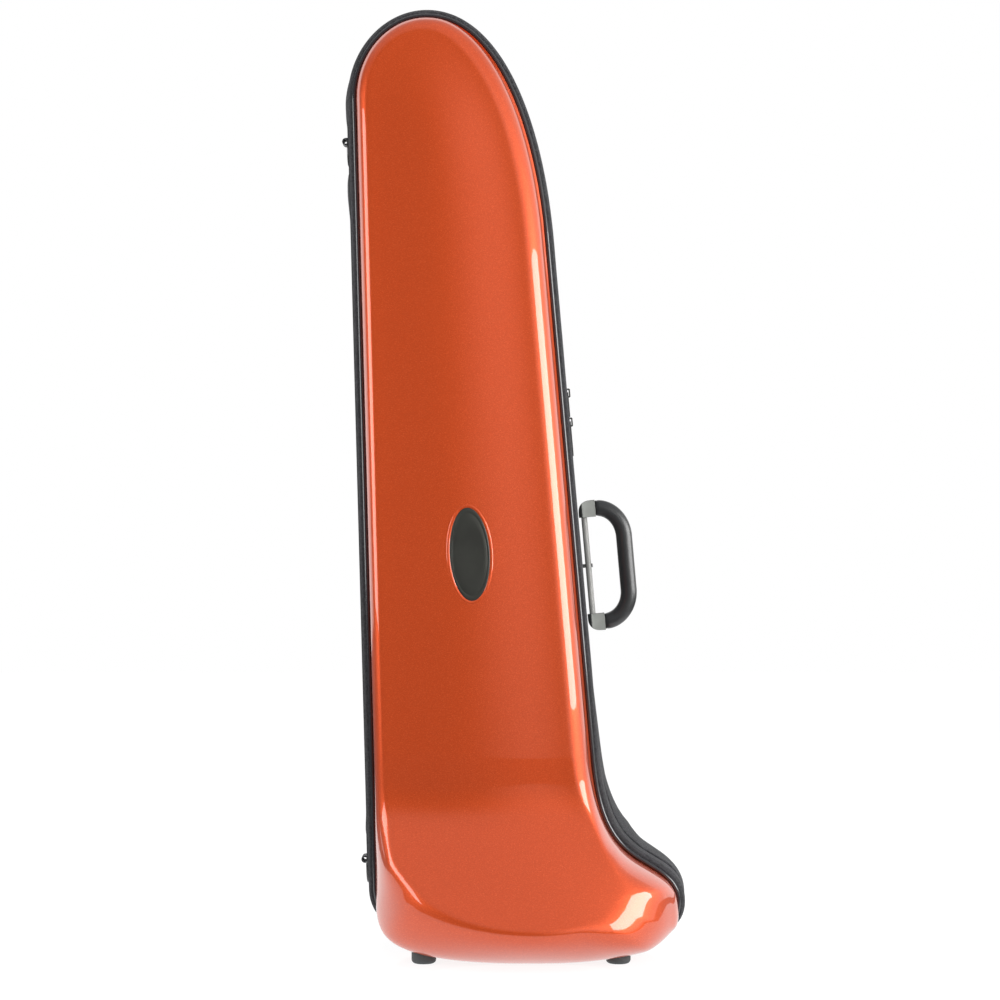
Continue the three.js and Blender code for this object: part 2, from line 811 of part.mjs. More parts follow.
// Tray
function trayOuterRings(skin) {
  const edge = (index) => (onHinge(index) ? hingeSplit : zipHalf + seatGap);
  const rings = [
    ring((place, normal, index) => ({
      inset: (onHinge(index) ? -hingeChamferProud : -(fabricProud - edgeEase)) - skin, y: edge(index),
    })),
    ring((place, normal, index) => ({
      inset: -fabricProud - skin, y: onHinge(index) ? hingeChamferDepth : edge(index) + edgeEase,
    })),
    ring(() => ({ inset: -(fabricProud + trayBulge) - skin, y: trayBulgeDepth })),
  ];
  const start = -(fabricProud + trayBulge / 2);
  for (let step = 0; step <= innerArcSteps; step += 1) {
    const angle = (step / innerArcSteps) * Math.PI / 2;
    rings.push(ring(() => ({
      inset: start - skin + (trayShoulder + skin) * (1 - Math.cos(angle)),
      y: trayShoulderStart + (trayDepth - trayShoulderStart + skin) * Math.sin(angle),
    })));
  }
  return rings;
}

const flat = (y) => ({ columns: backColumns, depthAt: () => y });

function trayShell() {
  const inner = trayInnerRings(0, innerArcSteps, 0);
  inner[0] = ring((place, normal, index) => ({
    inset: bandInner, y: onHinge(index) ? hingeSplit : zipHalf + seatGap,
  }));
  return shell(trayOuterRings(0), flat(trayDepth), inner, flat(trayDepth - trayBackWall));
}

function trayLining() {
  const outer = trayInnerRings(seatGap, innerArcSteps, liningSetBack);
  const inner = trayInnerRings(seatGap + liningThick, innerArcSteps, liningSetBack);
  return shell(outer, flat(trayDepth - trayBackWall - seatGap),
    inner, flat(trayDepth - trayBackWall - seatGap - liningThick));
}

// The space inside the tray's lining, and the whole tray and lid with their clearance, for fitting pieces
const cavitySkin = 2 * seatGap + liningThick;
const cavityFloor = trayDepth - trayBackWall - cavitySkin;
const cavity = toSolid(filled(trayInnerRings(cavitySkin, innerArcSteps, 0), flat(0), flat(cavityFloor)));
const trayBlank = toSolid(filled(trayOuterRings(seatGap),
  flat(zipHalf + seatGap), flat(trayDepth + seatGap)));
const lidBlank = toSolid(filled(lidRings(-seatGap, outerArcSteps, -rimDepth),
  { columns: faceColumns, depthAt: () => -rimDepth }, { columns: faceColumns, depthAt: faceY(-seatGap) }));

function fittedInTray(geometry, ...cutters) {
  const start = toSolid(geometry).intersect(cavity);
  return toGeometry(cutters.map(toSolid).reduce((rest, solid) => rest.subtract(solid), start));
}

// A rubber foot that rises to what it is fixed on
function foot(x, y, blank) {
  const round = footRadius * footRoundShare;
  const profile = new THREE.Path();
  profile.moveTo(0, 0);
  profile.lineTo(footRadius - round, 0);
  profile.absarc(footRadius - round, round, round, -Math.PI / 2, 0);
  profile.lineTo(footRadius, footReach);
  profile.lineTo(0, footReach);
  const arcSteps = 3;
  const turned = new THREE.LatheGeometry(profile.getPoints(arcSteps), roundSides);
  turned.rotateX(Math.PI / 2).translate(x, y, 0);
  return toGeometry(toSolid(turned).subtract(blank));
}

add(work, 'lid_shell', lidShell(), paint);
add(work, 'lid_piping', piping(), gloss);
add(work, 'lid_band', lidBand(), cloth);
add(work, 'lid_zip_side', zipSide(-1), zipBlack);
add(work, 'lid_lining', lidLining(), plush);
add(work, 'badge_plate', badgeBody(0, badgeRecess - seatGap, badgeThick - badgeRecess + seatGap), plate);
add(work, 'tray_shell', trayShell(), cloth);
add(work, 'tray_zip_side', zipSide(1), zipBlack);
add(work, 'tray_lining', trayLining(), plush);

for (const [side, x] of [['left', footLeftX], ['right', footRightX]]) {
  add(work, `front_foot_${side}`, foot(x, -footFrontDepth, lidBlank), rubber);
  add(work, `rear_foot_${side}`, foot(x, footRearDepth, trayBlank), rubber);
}

// The welt that the lid swings on
const hingeMiddle = (hingeLow + hingeHigh) / 2;
const hingeFrame = sideFrame(fineLeft, leftUp, hingeMiddle);
const hingeHalf = (rim[hingeIndices.at(-1)].place.distanceTo(rim[hingeIndices[0]].place)) / 2;
const welt = rodZ(weltRadius, -hingeHalf, hingeHalf, smallSides).translate(-fabricProud, 0, 0);
add(hingeFrame, 'hinge_welt', welt, cloth);

// Bell pad in the lid: a cushion that follows the lining where the bell swells
function bellPad() {
  const skin = lidWall + 2 * seatGap + liningThick;
  const ease = 2 * bellEase;
  const near = toSolid(filled(lidRings(skin, innerArcSteps, -rimDepth, ease),
    { columns: faceColumns, depthAt: () => -rimDepth },
    { columns: faceColumns, depthAt: faceY(skin, ease) }));
  const far = toSolid(filled(lidRings(skin + padThick, innerArcSteps, -rimDepth + overrun, ease),
    { columns: faceColumns, depthAt: () => -rimDepth + overrun },
    { columns: faceColumns, depthAt: faceY(skin + padThick, ease) }));
  const window = toSolid(boxBetween(padLowX, padHighX, -(waistDepth + bellSwell + overrun), -waistDepth,
    padLowZ, padHighZ));
  return toGeometry(near.subtract(far).intersect(window));
}

add(work, 'bell_pad', bellPad(), foam);

// Inside of the tray: what holds the slide, the bell section and the small things
const channel = sideFrame(fineLeft, leftUp, hingeMiddle);
const channelLow = bandInner + cavitySkin;
const dividerLow = channelLow + channelWide;
const dividerHigh = dividerLow + dividerThick;

function fittedInChannel(geometry, ...cutters) {
  channel.updateWorldMatrix(true, false);
  const move = (piece) => piece.applyMatrix4(channel.matrixWorld);
  return fittedInTray(move(geometry), ...cutters.map(move));
}

const dividerWall = boxBetween(dividerLow, dividerHigh, dividerFront, trayDepth,
  dividerFootZ - hingeMiddle, dividerTopZ - hingeMiddle);
add(work, 'divider_wall', fittedInChannel(dividerWall), foam);

for (const [place, z] of [['lower', saddleLowZ], ['upper', saddleHighZ]]) {
  const low = z - hingeMiddle - saddleThick / 2;
  const middle = channelLow + channelWide / 2;
  const block = boxBetween(0, dividerLow - seatGap, saddleFront, trayDepth, low, low + saddleThick);
  const slot = boxBetween(middle - saddleSlotHalf, middle + saddleSlotHalf, 0, saddleSlotFloor,
    low - overrun, low + saddleThick + overrun);
  add(work, `slide_saddle_${place}`, fittedInChannel(block, slot), foam);
}

// A block across the bell side of the tray, with round notches open to the front
function notchedBlock(z, thick, front, notches) {
  const lean = (thick / 2) * Math.abs(leftUp.x);
  const dividerSide = edgeAt(fineLeft, z, 1).place.x + dividerHigh + seatGap + lean;
  const low = z - thick / 2;
  const high = z + thick / 2;
  const block = boxBetween(dividerSide, toeX, front, trayDepth, low, high);
  const cutters = notches.map(([x, radius]) => (
    rodZ(radius, low - overrun, high + overrun).translate(x, front, 0)));
  return fittedInTray(block, ...cutters);
}

add(work, 'neck_block', notchedBlock(neckBlockZ, neckBlockThick, neckBlockFront,
  [[neckX, neckRadius], [pipeX, pipeRadius]]), foam);
add(work, 'tuning_slide_block', notchedBlock(bowBlockZ, bowBlockThick, bowBlockFront,
  [[bowX, bowRadius], [bowPipeX, bowRadius]]), foam);

// The seat of the bell's rim: a block hollowed by the bell's circle
function bellSeat() {
  const dividerSide = edgeAt(fineLeft, bellSeatTopZ, 1).place.x + dividerHigh
    + (bellSeatTopZ - bellSeatFootZ) * Math.abs(leftUp.x) + seatGap;
  const block = boxBetween(dividerSide, toeX, bellSeatFront, trayDepth, bellSeatFootZ, bellSeatTopZ);
  const sides = 40;
  const bell = rodZ(bellRimRadius, bellSeatFootZ - overrun, bellSeatTopZ + overrun, sides);
  return fittedInTray(block, bell.translate(bellX, -bellDepth, 0));
}

add(work, 'bell_seat', bellSeat(), foam);

// Accessory box with a hinged lid
const boxLowX = edgeAt(fineLeft, boxLowZ, 1).place.x + dividerHigh + 2 * boxKnuckle + 2 * seatGap;
const boxHighX = boxLowX + boxWide;
const boxHighZ = boxLowZ + boxTall;
const boxBack = cavityFloor - seatGap;
const pinX = boxLowX - boxKnuckle;
const pinY = boxFront - boxKnuckle;

function accessoryBox() {
  const outside = boxBetween(boxLowX, boxHighX, boxFront, boxBack, boxLowZ, boxHighZ);
  const inside = boxBetween(boxLowX + boxWall, boxHighX - boxWall, 0, boxBack - boxWall,
    boxLowZ + boxWall, boxHighZ - boxWall);
  let body = toSolid(outside).subtract(toSolid(inside));
  for (const low of [boxLowZ, boxHighZ - boxKnuckleLong]) {
    const web = boxBetween(0, boxKnuckle + boxWall, 0, boxKnuckle * 2, low, low + boxKnuckleLong);
    const hole = rodZ(boxPinRadius + rodBoreGap, low - overrun, low + boxKnuckleLong + overrun, smallSides);
    const round = rodZ(boxKnuckle, low, low + boxKnuckleLong, smallSides);
    const ear = toSolid(join(round, web)).subtract(toSolid(hole));
    body = body.add(ear.translate([pinX, pinY, 0]).subtract(toSolid(inside)));
  }
  return toGeometry(body);
}

function accessoryBoxLid() {
  const low = boxLowZ + boxKnuckleLong + seatGap;
  const high = boxHighZ - boxKnuckleLong - seatGap;
  const top = boxFront - seatGap;
  const panel = boxBetween(boxLowX + boxKnuckle, boxHighX, top - boxLidThick, top, boxLowZ, boxHighZ);
  const leaf = boxBetween(pinX, boxLowX + 2 * boxKnuckle, top - boxLidThick, top, low, high);
  const hole = rodZ(boxPinRadius + rodBoreGap, low - overrun, high + overrun, smallSides);
  const roll = toSolid(rodZ(boxKnuckle, low, high, smallSides)).translate([pinX, pinY, 0]);
  const middle = (boxLowZ + boxHighZ) / 2;
  const tab = boxBetween(boxHighX - overrun, boxHighX + boxTabReach,
    top - boxLidThick, top - boxLidThick + boxTabThick, middle - boxTabHalf, middle + boxTabHalf);
  const body = toSolid(panel).add(toSolid(leaf)).add(roll).add(toSolid(tab));
  return toGeometry(body.subtract(toSolid(hole).translate([pinX, pinY, 0])));
}

add(work, 'accessory_box', accessoryBox(), plastic);
add(work, 'accessory_box_lid', accessoryBoxLid(), plastic);
add(work, 'box_hinge_pin', rodZ(boxPinRadius, boxLowZ, boxHighZ, smallSides).translate(pinX, pinY, 0), steel);

// Hook-and-loop straps
function strap(low, high, front, z, wide) {
  const arch = new THREE.Shape();
  const middle = (low + high) / 2;
  arch.moveTo(low, front);
  arch.quadraticCurveTo(middle, front - 2 * strapRise, high, front);
  arch.lineTo(high, front - strapThick);
  arch.quadraticCurveTo(middle, front - 2 * strapRise - strapThick, low, front - strapThick);
  const steps = 6;
  return prismZ(arch, z - wide / 2, z + wide / 2, steps);
}

add(channel, 'slide_strap', strap(channelLow, dividerHigh, dividerFront - seatGap,
  strapZ - hingeMiddle, strapWide), webbing);
add(work, 'neck_strap', strap(neckX - neckRadius - neckStrapWide / 2, neckX + neckRadius + neckStrapWide / 2,
  neckBlockFront - seatGap, neckBlockZ, neckStrapWide), webbing);

// Handle: two lugs and a grip that swing on a rod, which the keeper holds to the tray
const handleFrame = sideFrame(fineRight, rightUp, handleZ);
handleFrame.position.y = handleDepth;
const swing = new THREE.Group();
swing.position.x = rodProud;
handleFrame.add(swing);

function gripPath() {
  const start = lugReach + seatGap;
  const out = gripProud - rodProud;
  const high = (lugInnerHalf + lugOuterHalf) / 2;
  const at = (x, z) => new THREE.Vector3(x, 0, z);
  const path = new THREE.CurvePath();
  const bend = (from, corner, to) => new THREE.CubicBezierCurve3(from,
    from.clone().lerp(corner, roundShare), to.clone().lerp(corner, roundShare), to);
  path.add(bend(at(start, high), at(out, high), at(out, gripStraightHalf)));
  path.add(new THREE.LineCurve3(at(out, gripStraightHalf), at(out, -gripStraightHalf)));
  path.add(bend(at(out, -gripStraightHalf), at(out, -high), at(start, -high)));
  return path;
}

function grip() {
  const section = new THREE.Shape();
  section.absarc(0, 0, gripRadius, 0, 2 * Math.PI);
  const sides = 7;
  const steps = 26;
  return new THREE.ExtrudeGeometry(section, { steps, curveSegments: sides, extrudePath: gripPath() });
}

// A lug seen along the rod is a nose round it that flares towards the grip; its far corner is rounded
function lug(side) {
  const reach = lugReach - collarThick - seatGap;
  const plan = new THREE.Shape();
  plan.moveTo(0, -lugNose);
  plan.lineTo(reach, -lugFlare);
  plan.lineTo(reach, lugFlare);
  plan.lineTo(0, lugNose);
  plan.absarc(0, 0, lugNose, Math.PI / 2, 3 * Math.PI / 2);
  const front = new THREE.Shape();
  front.moveTo(-lugNose - overrun, lugInnerHalf);
  front.lineTo(reach + overrun, lugInnerHalf);
  front.lineTo(reach + overrun, lugOuterHalf);
  front.lineTo(lugRound - lugNose, lugOuterHalf);
  front.quadraticCurveTo(-lugNose, lugOuterHalf, -lugNose, lugOuterHalf - lugRound);
  front.lineTo(-lugNose - overrun, lugInnerHalf);
  const body = toSolid(prismZ(plan, lugInnerHalf, lugOuterHalf)).intersect(toSolid(
    prismY(front, -lugFlare - overrun, lugFlare + overrun)));
  const bore = toSolid(rodZ(rodRadius + rodBoreGap, lugInnerHalf - overrun, rodHalf + rodBoreGap));
  const whole = body.subtract(bore);
  return toGeometry(side > 0 ? whole : whole.mirror([0, 0, 1]));
}

function collar(side) {
  const low = lugReach - collarThick;
  const disc = new THREE.CylinderGeometry(collarRadius, collarRadius, collarThick, roundSides);
  disc.rotateZ(Math.PI / 2);
  return disc.translate(low + collarThick / 2, 0, side * (lugInnerHalf + lugOuterHalf) / 2);
}

for (const [place, side] of [['upper', 1], ['lower', -1]]) {
  add(swing, `handle_lug_${place}`, lug(side), lugGrey);
  add(swing, `handle_collar_${place}`, collar(side), rubber);
}
add(swing, 'handle_grip', grip(), rubber);
add(handleFrame, 'handle_rod', rodZ(rodRadius, -rodHalf, rodHalf).translate(rodProud, 0, 0), steel);

function rodKeeper() {
  const out = rodProud + rodRadius + keeperNub;
  const saddle = new THREE.Shape();
  saddle.moveTo(0, -keeperWide);
  saddle.lineTo(rodProud, -keeperWide);
  saddle.quadraticCurveTo(out, -keeperWide, out, 0);
  saddle.quadraticCurveTo(out, keeperWide, rodProud, keeperWide);
  saddle.lineTo(0, keeperWide);
  const bore = rodZ(rodRadius + rodBoreGap, -keeperHalf - overrun, keeperHalf + overrun);
  const body = toSolid(cut(prismZ(saddle, -keeperHalf, keeperHalf), bore.translate(rodProud, 0, 0)));
  return toGeometry(body.subtract(solidIn(handleFrame, trayBlank)));
}

add(handleFrame, 'handle_rod_keeper', rodKeeper(), rubber);

// Zip sliders: a plate on the chain with an arch, and a pull whose eye goes through the arch
function sliderBody() {
  const low = zipProud + seatGap;
  const top = low + sliderPlate;
  const base = new THREE.Shape();
  const noseShare = 0.55;
  base.moveTo(-sliderHalfWide * noseShare, -sliderHalfLength);
  base.lineTo(sliderHalfWide * noseShare, -sliderHalfLength);
  base.lineTo(sliderHalfWide, sliderHalfLength * noseShare);
  base.lineTo(sliderHalfWide * noseShare, sliderHalfLength);
  base.lineTo(-sliderHalfWide * noseShare, sliderHalfLength);
  base.lineTo(-sliderHalfWide, sliderHalfLength * noseShare);
  const plateBody = prismX(base, low, top);
  const arch = new THREE.Shape();
  const crest = top + archTunnel + archBar;
  arch.moveTo(low, -archHalf);
  arch.lineTo(crest - archBar, -archHalf);
  arch.quadraticCurveTo(crest, -archHalf, crest, -archHalf + archBar);
  arch.lineTo(crest, archHalf - archBar);
  arch.quadraticCurveTo(crest, archHalf, crest - archBar, archHalf);
  arch.lineTo(low, archHalf);
  const tunnel = new THREE.Path();
  tunnel.moveTo(top, -archHalf + archBar);
  tunnel.lineTo(top, archHalf - archBar);
  tunnel.lineTo(crest - archBar, archHalf - archBar);
  tunnel.lineTo(crest - archBar, -archHalf + archBar);
  arch.holes.push(tunnel);
  const steps = 3;
  return join(plateBody, prismY(arch, -archHalfWide, archHalfWide, steps));
}

// The pull hangs from its bar: the bar lies along y at the origin, the tab runs down
function pull(length) {
  const outline = new THREE.Shape();
  const tipShare = 0.8;
  outline.moveTo(-pullHalfWide, 0);
  outline.lineTo(pullHalfWide, 0);
  const tipX = pullHalfWide * tipShare;
  outline.lineTo(tipX, -length + pullHalfWide);
  outline.quadraticCurveTo(tipX, -length, 0, -length);
  outline.quadraticCurveTo(-tipX, -length, -tipX, -length + pullHalfWide);
  const eye = new THREE.Path();
  eye.moveTo(-pullEyeHalfWide, 0);
  eye.lineTo(-pullEyeHalfWide, -pullEyeLength);
  eye.lineTo(pullEyeHalfWide, -pullEyeLength);
  eye.lineTo(pullEyeHalfWide, 0);
  const steps = 3;
  const tab = prismX(outline, -pullThick / 2, pullThick / 2, steps);
  const hole = prismX(new THREE.Shape(eye.getPoints()), -pullThick, pullThick);
  return join(cut(tab, hole), rodY(pullBarRadius, -pullHalfWide, pullHalfWide, smallSides));
}

const pullBarProud = zipProud + seatGap + sliderPlate + archTunnel / 2;

const zipEnds = [['upper', sliderUpperZ, pullUpperLength], ['lower', sliderLowerZ, pullLowerLength]];
for (const [place, z, length] of zipEnds) {
  const frame = sideFrame(fineRight, rightUp, z);
  add(frame, `zip_slider_${place}`, sliderBody(), steel);
  const tab = add(frame, `zip_pull_${place}`, pull(length), steel);
  tab.position.x = pullBarProud;
}

// Strap rings, each in a webbing tab
function strapRing() {
  const path = [];
  const turns = 8;
  for (let k = 0; k <= turns; k += 1) {
    const angle = -Math.PI * k / turns;
    const sideways = ringHalfWide * Math.cos(angle);
    path.push(new THREE.Vector3(0, sideways, -ringDrop + ringHalfWide * Math.sin(angle)));
  }
  path.push(new THREE.Vector3(0, -ringHalfWide, 0));
  path.push(new THREE.Vector3(0, ringHalfWide, 0));
  const sides = 8;
  return closedTube(path, ringWire, sides, new THREE.Vector3(1, 0, 0));
}

function strapTabBody(frame) {
  const loop = ringWire + tabLoopGap + tabLoop;
  const wallSide = ringProud - fabricProud - trayBulge;
  const tail = boxBetween(wallSide - tabThick, wallSide + overrun, -tabHalfWide, tabHalfWide, 0, tabTail);
  const throat = boxBetween(0, wallSide + overrun, -tabHalfWide, tabHalfWide, -tabThick / 2, loop);
  const round = rodY(loop, -tabHalfWide, tabHalfWide, roundSides);
  const bore = rodY(ringWire + tabLoopGap, -tabHalfWide - overrun, tabHalfWide + overrun, roundSides);
  const body = toSolid(join(round, tail, throat)).subtract(toSolid(bore));
  return toGeometry(body.subtract(solidIn(frame, trayBlank)));
}

for (const [place, z] of [['upper', ringUpperZ], ['lower', ringLowerZ]]) {
  const frame = sideFrame(fineLeft, leftUp, z);
  const bar = new THREE.Group();
  bar.position.set(-ringProud, ringDepth, 0);
  frame.add(bar);
  add(bar, `strap_tab_${place}`, strapTabBody(bar), webbing);
  add(bar, `strap_ring_${place}`, strapRing(), gloss);
}

// Back pocket
function backPocket() {
  const front = trayDepth + seatGap;
  const back = trayDepth + pocketDepth;
  const rings = [
    ring(() => ({ inset: pocketInset, y: front })),
  ];
  const steps = 2;
  for (let step = 0; step <= steps; step += 1) {
    const angle = (step / steps) * Math.PI / 2;
    rings.push(ring(() => ({
      inset: pocketInset + pocketRound * (1 - Math.cos(angle)),
      y: back - pocketRound + pocketRound * Math.sin(angle),
    })));
  }
  return filled(rings, flat(front), flat(back));
}

add(work, 'back_pocket', backPocket(), cloth);

const pocketZip = new THREE.Group();
pocketZip.position.set(pocketZipX, trayDepth + pocketDepth + seatGap, (pocketZipLowZ + pocketZipHighZ) / 2);
pocketZip.rotation.y = THREE.MathUtils.degToRad(-pocketZipLean);
work.add(pocketZip);
const pocketZipHalfLong = (pocketZipHighZ - pocketZipLowZ) / 2;
add(pocketZip, 'pocket_zip', boxBetween(-pocketZipHalf, pocketZipHalf, 0, pocketZipThick,
  -pocketZipHalfLong, pocketZipHalfLong), zipBlack);
const pocketSlider = new THREE.Group();
pocketSlider.position.set(0, pocketZipThick - zipProud, pocketSliderZ - (pocketZipLowZ + pocketZipHighZ) / 2);
pocketSlider.rotation.z = Math.PI / 2;
pocketZip.add(pocketSlider);
add(pocketSlider, 'pocket_slider', sliderBody(), steel);
const pocketPull = add(pocketSlider, 'pocket_pull', pull(pullUpperLength), steel);
pocketPull.position.x = pullBarProud;

// The origin: the middle of the case's outline on the surface that it stands on
const bounds = new THREE.Box3().setFromObject(trombone_case, true);
const middle = bounds.getCenter(new THREE.Vector3());
work.position.set(-middle.x, -middle.y, -bounds.min.z);

export default trombone_case;
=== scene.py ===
"""Trombone case: the looks of its surfaces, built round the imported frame.

Sizes are millimetres with the zip plane at y = 0, X right, Y back and Z up. Meshes are written in metres.
"""
import contextlib
import json
import math

import bmesh
import bpy
import numpy as np
from mathutils import Matrix, Vector, noise


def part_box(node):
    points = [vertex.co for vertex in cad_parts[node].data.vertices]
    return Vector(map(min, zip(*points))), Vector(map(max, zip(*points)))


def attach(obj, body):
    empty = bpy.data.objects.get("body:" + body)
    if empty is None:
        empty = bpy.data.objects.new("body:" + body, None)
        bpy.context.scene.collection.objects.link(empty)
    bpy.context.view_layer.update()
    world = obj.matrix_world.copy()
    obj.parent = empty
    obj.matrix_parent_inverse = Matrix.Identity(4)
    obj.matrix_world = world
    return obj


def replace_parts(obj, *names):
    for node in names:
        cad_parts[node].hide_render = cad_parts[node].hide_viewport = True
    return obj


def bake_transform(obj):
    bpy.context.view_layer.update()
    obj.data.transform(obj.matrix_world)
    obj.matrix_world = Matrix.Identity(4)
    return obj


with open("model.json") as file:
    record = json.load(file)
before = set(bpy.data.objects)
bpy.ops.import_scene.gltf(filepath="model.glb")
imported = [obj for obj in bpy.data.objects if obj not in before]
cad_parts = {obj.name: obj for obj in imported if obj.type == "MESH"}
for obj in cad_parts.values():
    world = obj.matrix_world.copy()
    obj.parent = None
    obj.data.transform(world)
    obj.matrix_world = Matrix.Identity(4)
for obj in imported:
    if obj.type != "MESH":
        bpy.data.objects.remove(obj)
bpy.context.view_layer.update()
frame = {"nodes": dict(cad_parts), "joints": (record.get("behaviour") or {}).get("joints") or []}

MM = 0.001
WELD = 0.002 * MM
SOLID_WELD = 0.01 * MM
FLAT_ANGLE = math.radians(1.5)
NEAR_FLOOR = 1.0 * MM
MIRRORED = np.array([1.0, -1.0, 1.0])

# Rim outline, as the frame has it
CROWN = np.array([-72.5, 928.0])
LEFT_TOP = np.array([-142.4, 846.0])
LEFT_FOOT = np.array([-121.4, 64.0])
RIGHT_TOP = np.array([44.6, 708.0])
RIGHT_FOOT = np.array([89.5, 198.0])
FLARE = np.array([137.0, 92.5])
FLARE_RUN_ANGLE = 31.5
TOE = np.array([175.0, 51.0])
SOLE = np.array([27.0, 15.0])
ROUND_SHARE = 0.5523
FLARE_TOP_SHARE = 0.49
FLARE_RUN_SHARE = 0.82
TOE_RUN_SHARE = 0.65
TOE_TOP_SHARE = 0.51
TOE_SOLE_SHARE = 0.78
SOLE_TOE_SHARE = 0.75
SOLE_HEEL_SHARE = 0.62
HEEL_SHARE = 0.82

# Lid
LID_WALL = 3.2
RIM_DEPTH = 22.0
CROWN_DEPTH = 52.0
WAIST_DEPTH = 72.0
BELL_SWELL = 84.0
WALL_DRAFT = 0.045
BELLY_DROP = 13.2
BELLY_TOP_Z = 125.0
BELLY_TURN_SHARE = -0.22
BELLY_FULL_TURN_SHARE = 0.95
SHOULDER_LEFT = 12.0
SHOULDER_RIGHT = 19.5
SHOULDER_RISE = 27.0
LEAST_WALL_HIGH = 14.0
SHOULDER_TURN_SHARE = 0.5523
BELL_START_SHARE = 0.22
TOE_START_SHARE = 0.5
BELL_TURN = 16.0
FLARE_TURN = 6.0
TOE_TURN = 40.0
TOE_REACH = (30.0, 105.0)
TOE_TIP_REACH = (6.0, 54.0)
TOE_RELIEF = 0.46
BELL_SHOULDER_TOP_Z = 185.0
BELL_SHOULDER_FULL_Z = 85.0
BELLY_WALL_HIGH = 46.0
RIGHT_LEAN = 2.0
RIGHT_LEAN_SIDE = (0.2, 0.9)
TURN_LIMIT = 0.8
BELL_TURN_SIDE = (-0.2, 0.6)
BELLY_WALL_POWER = 4
EDGE_LEAD_STEP = 4
EDGE_ROUNDS = 40

# The edge of the lid's face round the bell: places on the rim, and the edge's places inside them
BELL_EDGE = (((97.5, 158.0), (81.5, 153.0)), ((117.0, 112.0), (104.0, 99.0)), ((137.0, 92.5), (119.0, 79.0)),
             ((157.0, 79.0), (119.0, 73.0)), ((172.0, 63.0), (115.0, 71.0)), ((175.0, 51.0), (112.0, 68.0)),
             ((166.0, 33.0), (108.0, 62.5)), ((140.0, 22.0), (99.0, 54.5)), ((100.0, 17.0), (82.0, 47.5)),
             ((60.0, 15.4), (57.0, 44.2)), ((27.0, 15.0), (28.0, 43.4)), ((-10.0, 15.6), (-5.0, 46.5)),
             ((-45.0, 17.8), (-33.0, 53.0)), ((-78.0, 22.5), (-57.0, 63.5)), ((-108.0, 38.0), (-78.5, 78.0)),
             ((-120.0, 60.0), (-94.0, 93.0)), ((-122.4, 92.0), (-102.5, 109.0)), ((-123.8, 150.0), (-107.5, 152.0)))
FACE_CROWN = 6.0
CROWN_FADE_LOW = (44.0, 120.0)
CROWN_FADE_HIGH = (800.0, 912.0)
SWELL_START_Z = 176.0
SWELL_BEND = 64.0
SWELL_FULL_Z = 43.0
DOME_LEFT_X = 30.0
DOME_WIDE = 160.0
DOME_DEEP = 105.0
DOME_LIMIT = 0.86
SEAT_GAP = 0.3
LINING_THICK = 4.0
LINING_SET_BACK = 1.2
LINING_ROLL = 1.6
BELL_EASE = 2.8

# Tray
TRAY_DEPTH = 90.0
TRAY_WALL = 11.0
TRAY_BACK_WALL = 5.0
FABRIC_PROUD = 8.0
TRAY_BULGE = 2.6
TRAY_BULGE_DEPTH = 40.0
TRAY_SHOULDER = 24.0
TRAY_SHOULDER_START = 66.0

# Band, piping, zip and hinge
BAND_INNER = 3.2
BAND_FRONT_PROUD = 6.4
BAND_BULGE = 0.9
BAND_BULGE_DEPTH = 13.0
PIPING_RADIUS = 2.0
ZIP_HALF = 4.0
ZIP_SPLIT = 0.2
HINGE_SPLIT = 0.3
HINGE_CHAMFER_PROUD = 3.9
HINGE_CHAMFER_DEPTH = 4.3
HINGE_END_CLEAR = 14.0
TOOTH_PITCH = 2.9
TOOTH_SHARE = 0.46

# How far the cloth and the zip stand out at the flare, and the cloth's slack by height on the right and the left
CLOTH_TURN_Y = 5.0
CLOTH_SWING_REACH = 22.0
BAND_FADE_REACH = 16.0
BAND_LIFT = 2.4
ZIP_LIFT = 4.4
EDGE_LIFT = 4.4
FLARE_SIDE = (0.1, 0.7)
FLARE_START = (45.0, 80.0)
FLARE_END = (140.0, 205.0)
FLARE_SLACK = ((20.0, 0.0), (48.0, 0.5), (80.0, 3.5), (112.0, 8.5), (140.0, 6.0), (170.0, 3.2), (200.0, 2.0),
               (260.0, 0.0), (560.0, 0.0), (600.0, -1.6), (900.0, -1.6))
LEFT_SLACK = ((90.0, 0.0), (110.0, 0.4), (112.0, 3.0), (135.0, 1.6), (170.0, 0.4), (240.0, -0.8), (300.0, -0.8),
              (360.0, 0.6), (400.0, 0.4), (445.0, 0.0), (485.0, 1.8), (530.0, 0.4), (575.0, -1.0), (640.0, -0.6),
              (690.0, 0.8), (725.0, 0.9), (758.0, 3.6), (776.0, 3.2), (784.0, 0.2), (800.0, -0.8), (818.0, 0.4),
              (830.0, 2.8), (852.0, 3.4), (890.0, 1.6), (915.0, 0.4))

# Badge
BADGE_X = -29.5
BADGE_WIDE = 39.0
BADGE_TALL = 91.0
BADGE_MARGIN = 1.6
BADGE_RECESS = 1.7

# Handle
HANDLE_Z = 382.0
HANDLE_DEPTH = 40.0
ROD_PROUD = 16.4
LUG_REACH = 13.5
LUG_INNER_HALF = 49.0
LUG_OUTER_HALF = 66.0
GRIP_RADIUS = 8.2
GRIP_PROUD = 55.0
GRIP_STRAIGHT_HALF = 27.0
FACING_FRONT = 0.97

# Strap rings and tabs
RING_PROUD = 11.2
RING_DEPTH = 34.0
RING_WIRE = 1.8
RING_HALF_WIDE = 14.0
RING_DROP = 9.0
RING_HEIGHTS = {"upper": 812.0, "lower": 88.0}

# Back pocket
POCKET_INSET = 20.0
POCKET_DEPTH = 15.0
POCKET_ROUND = 9.0

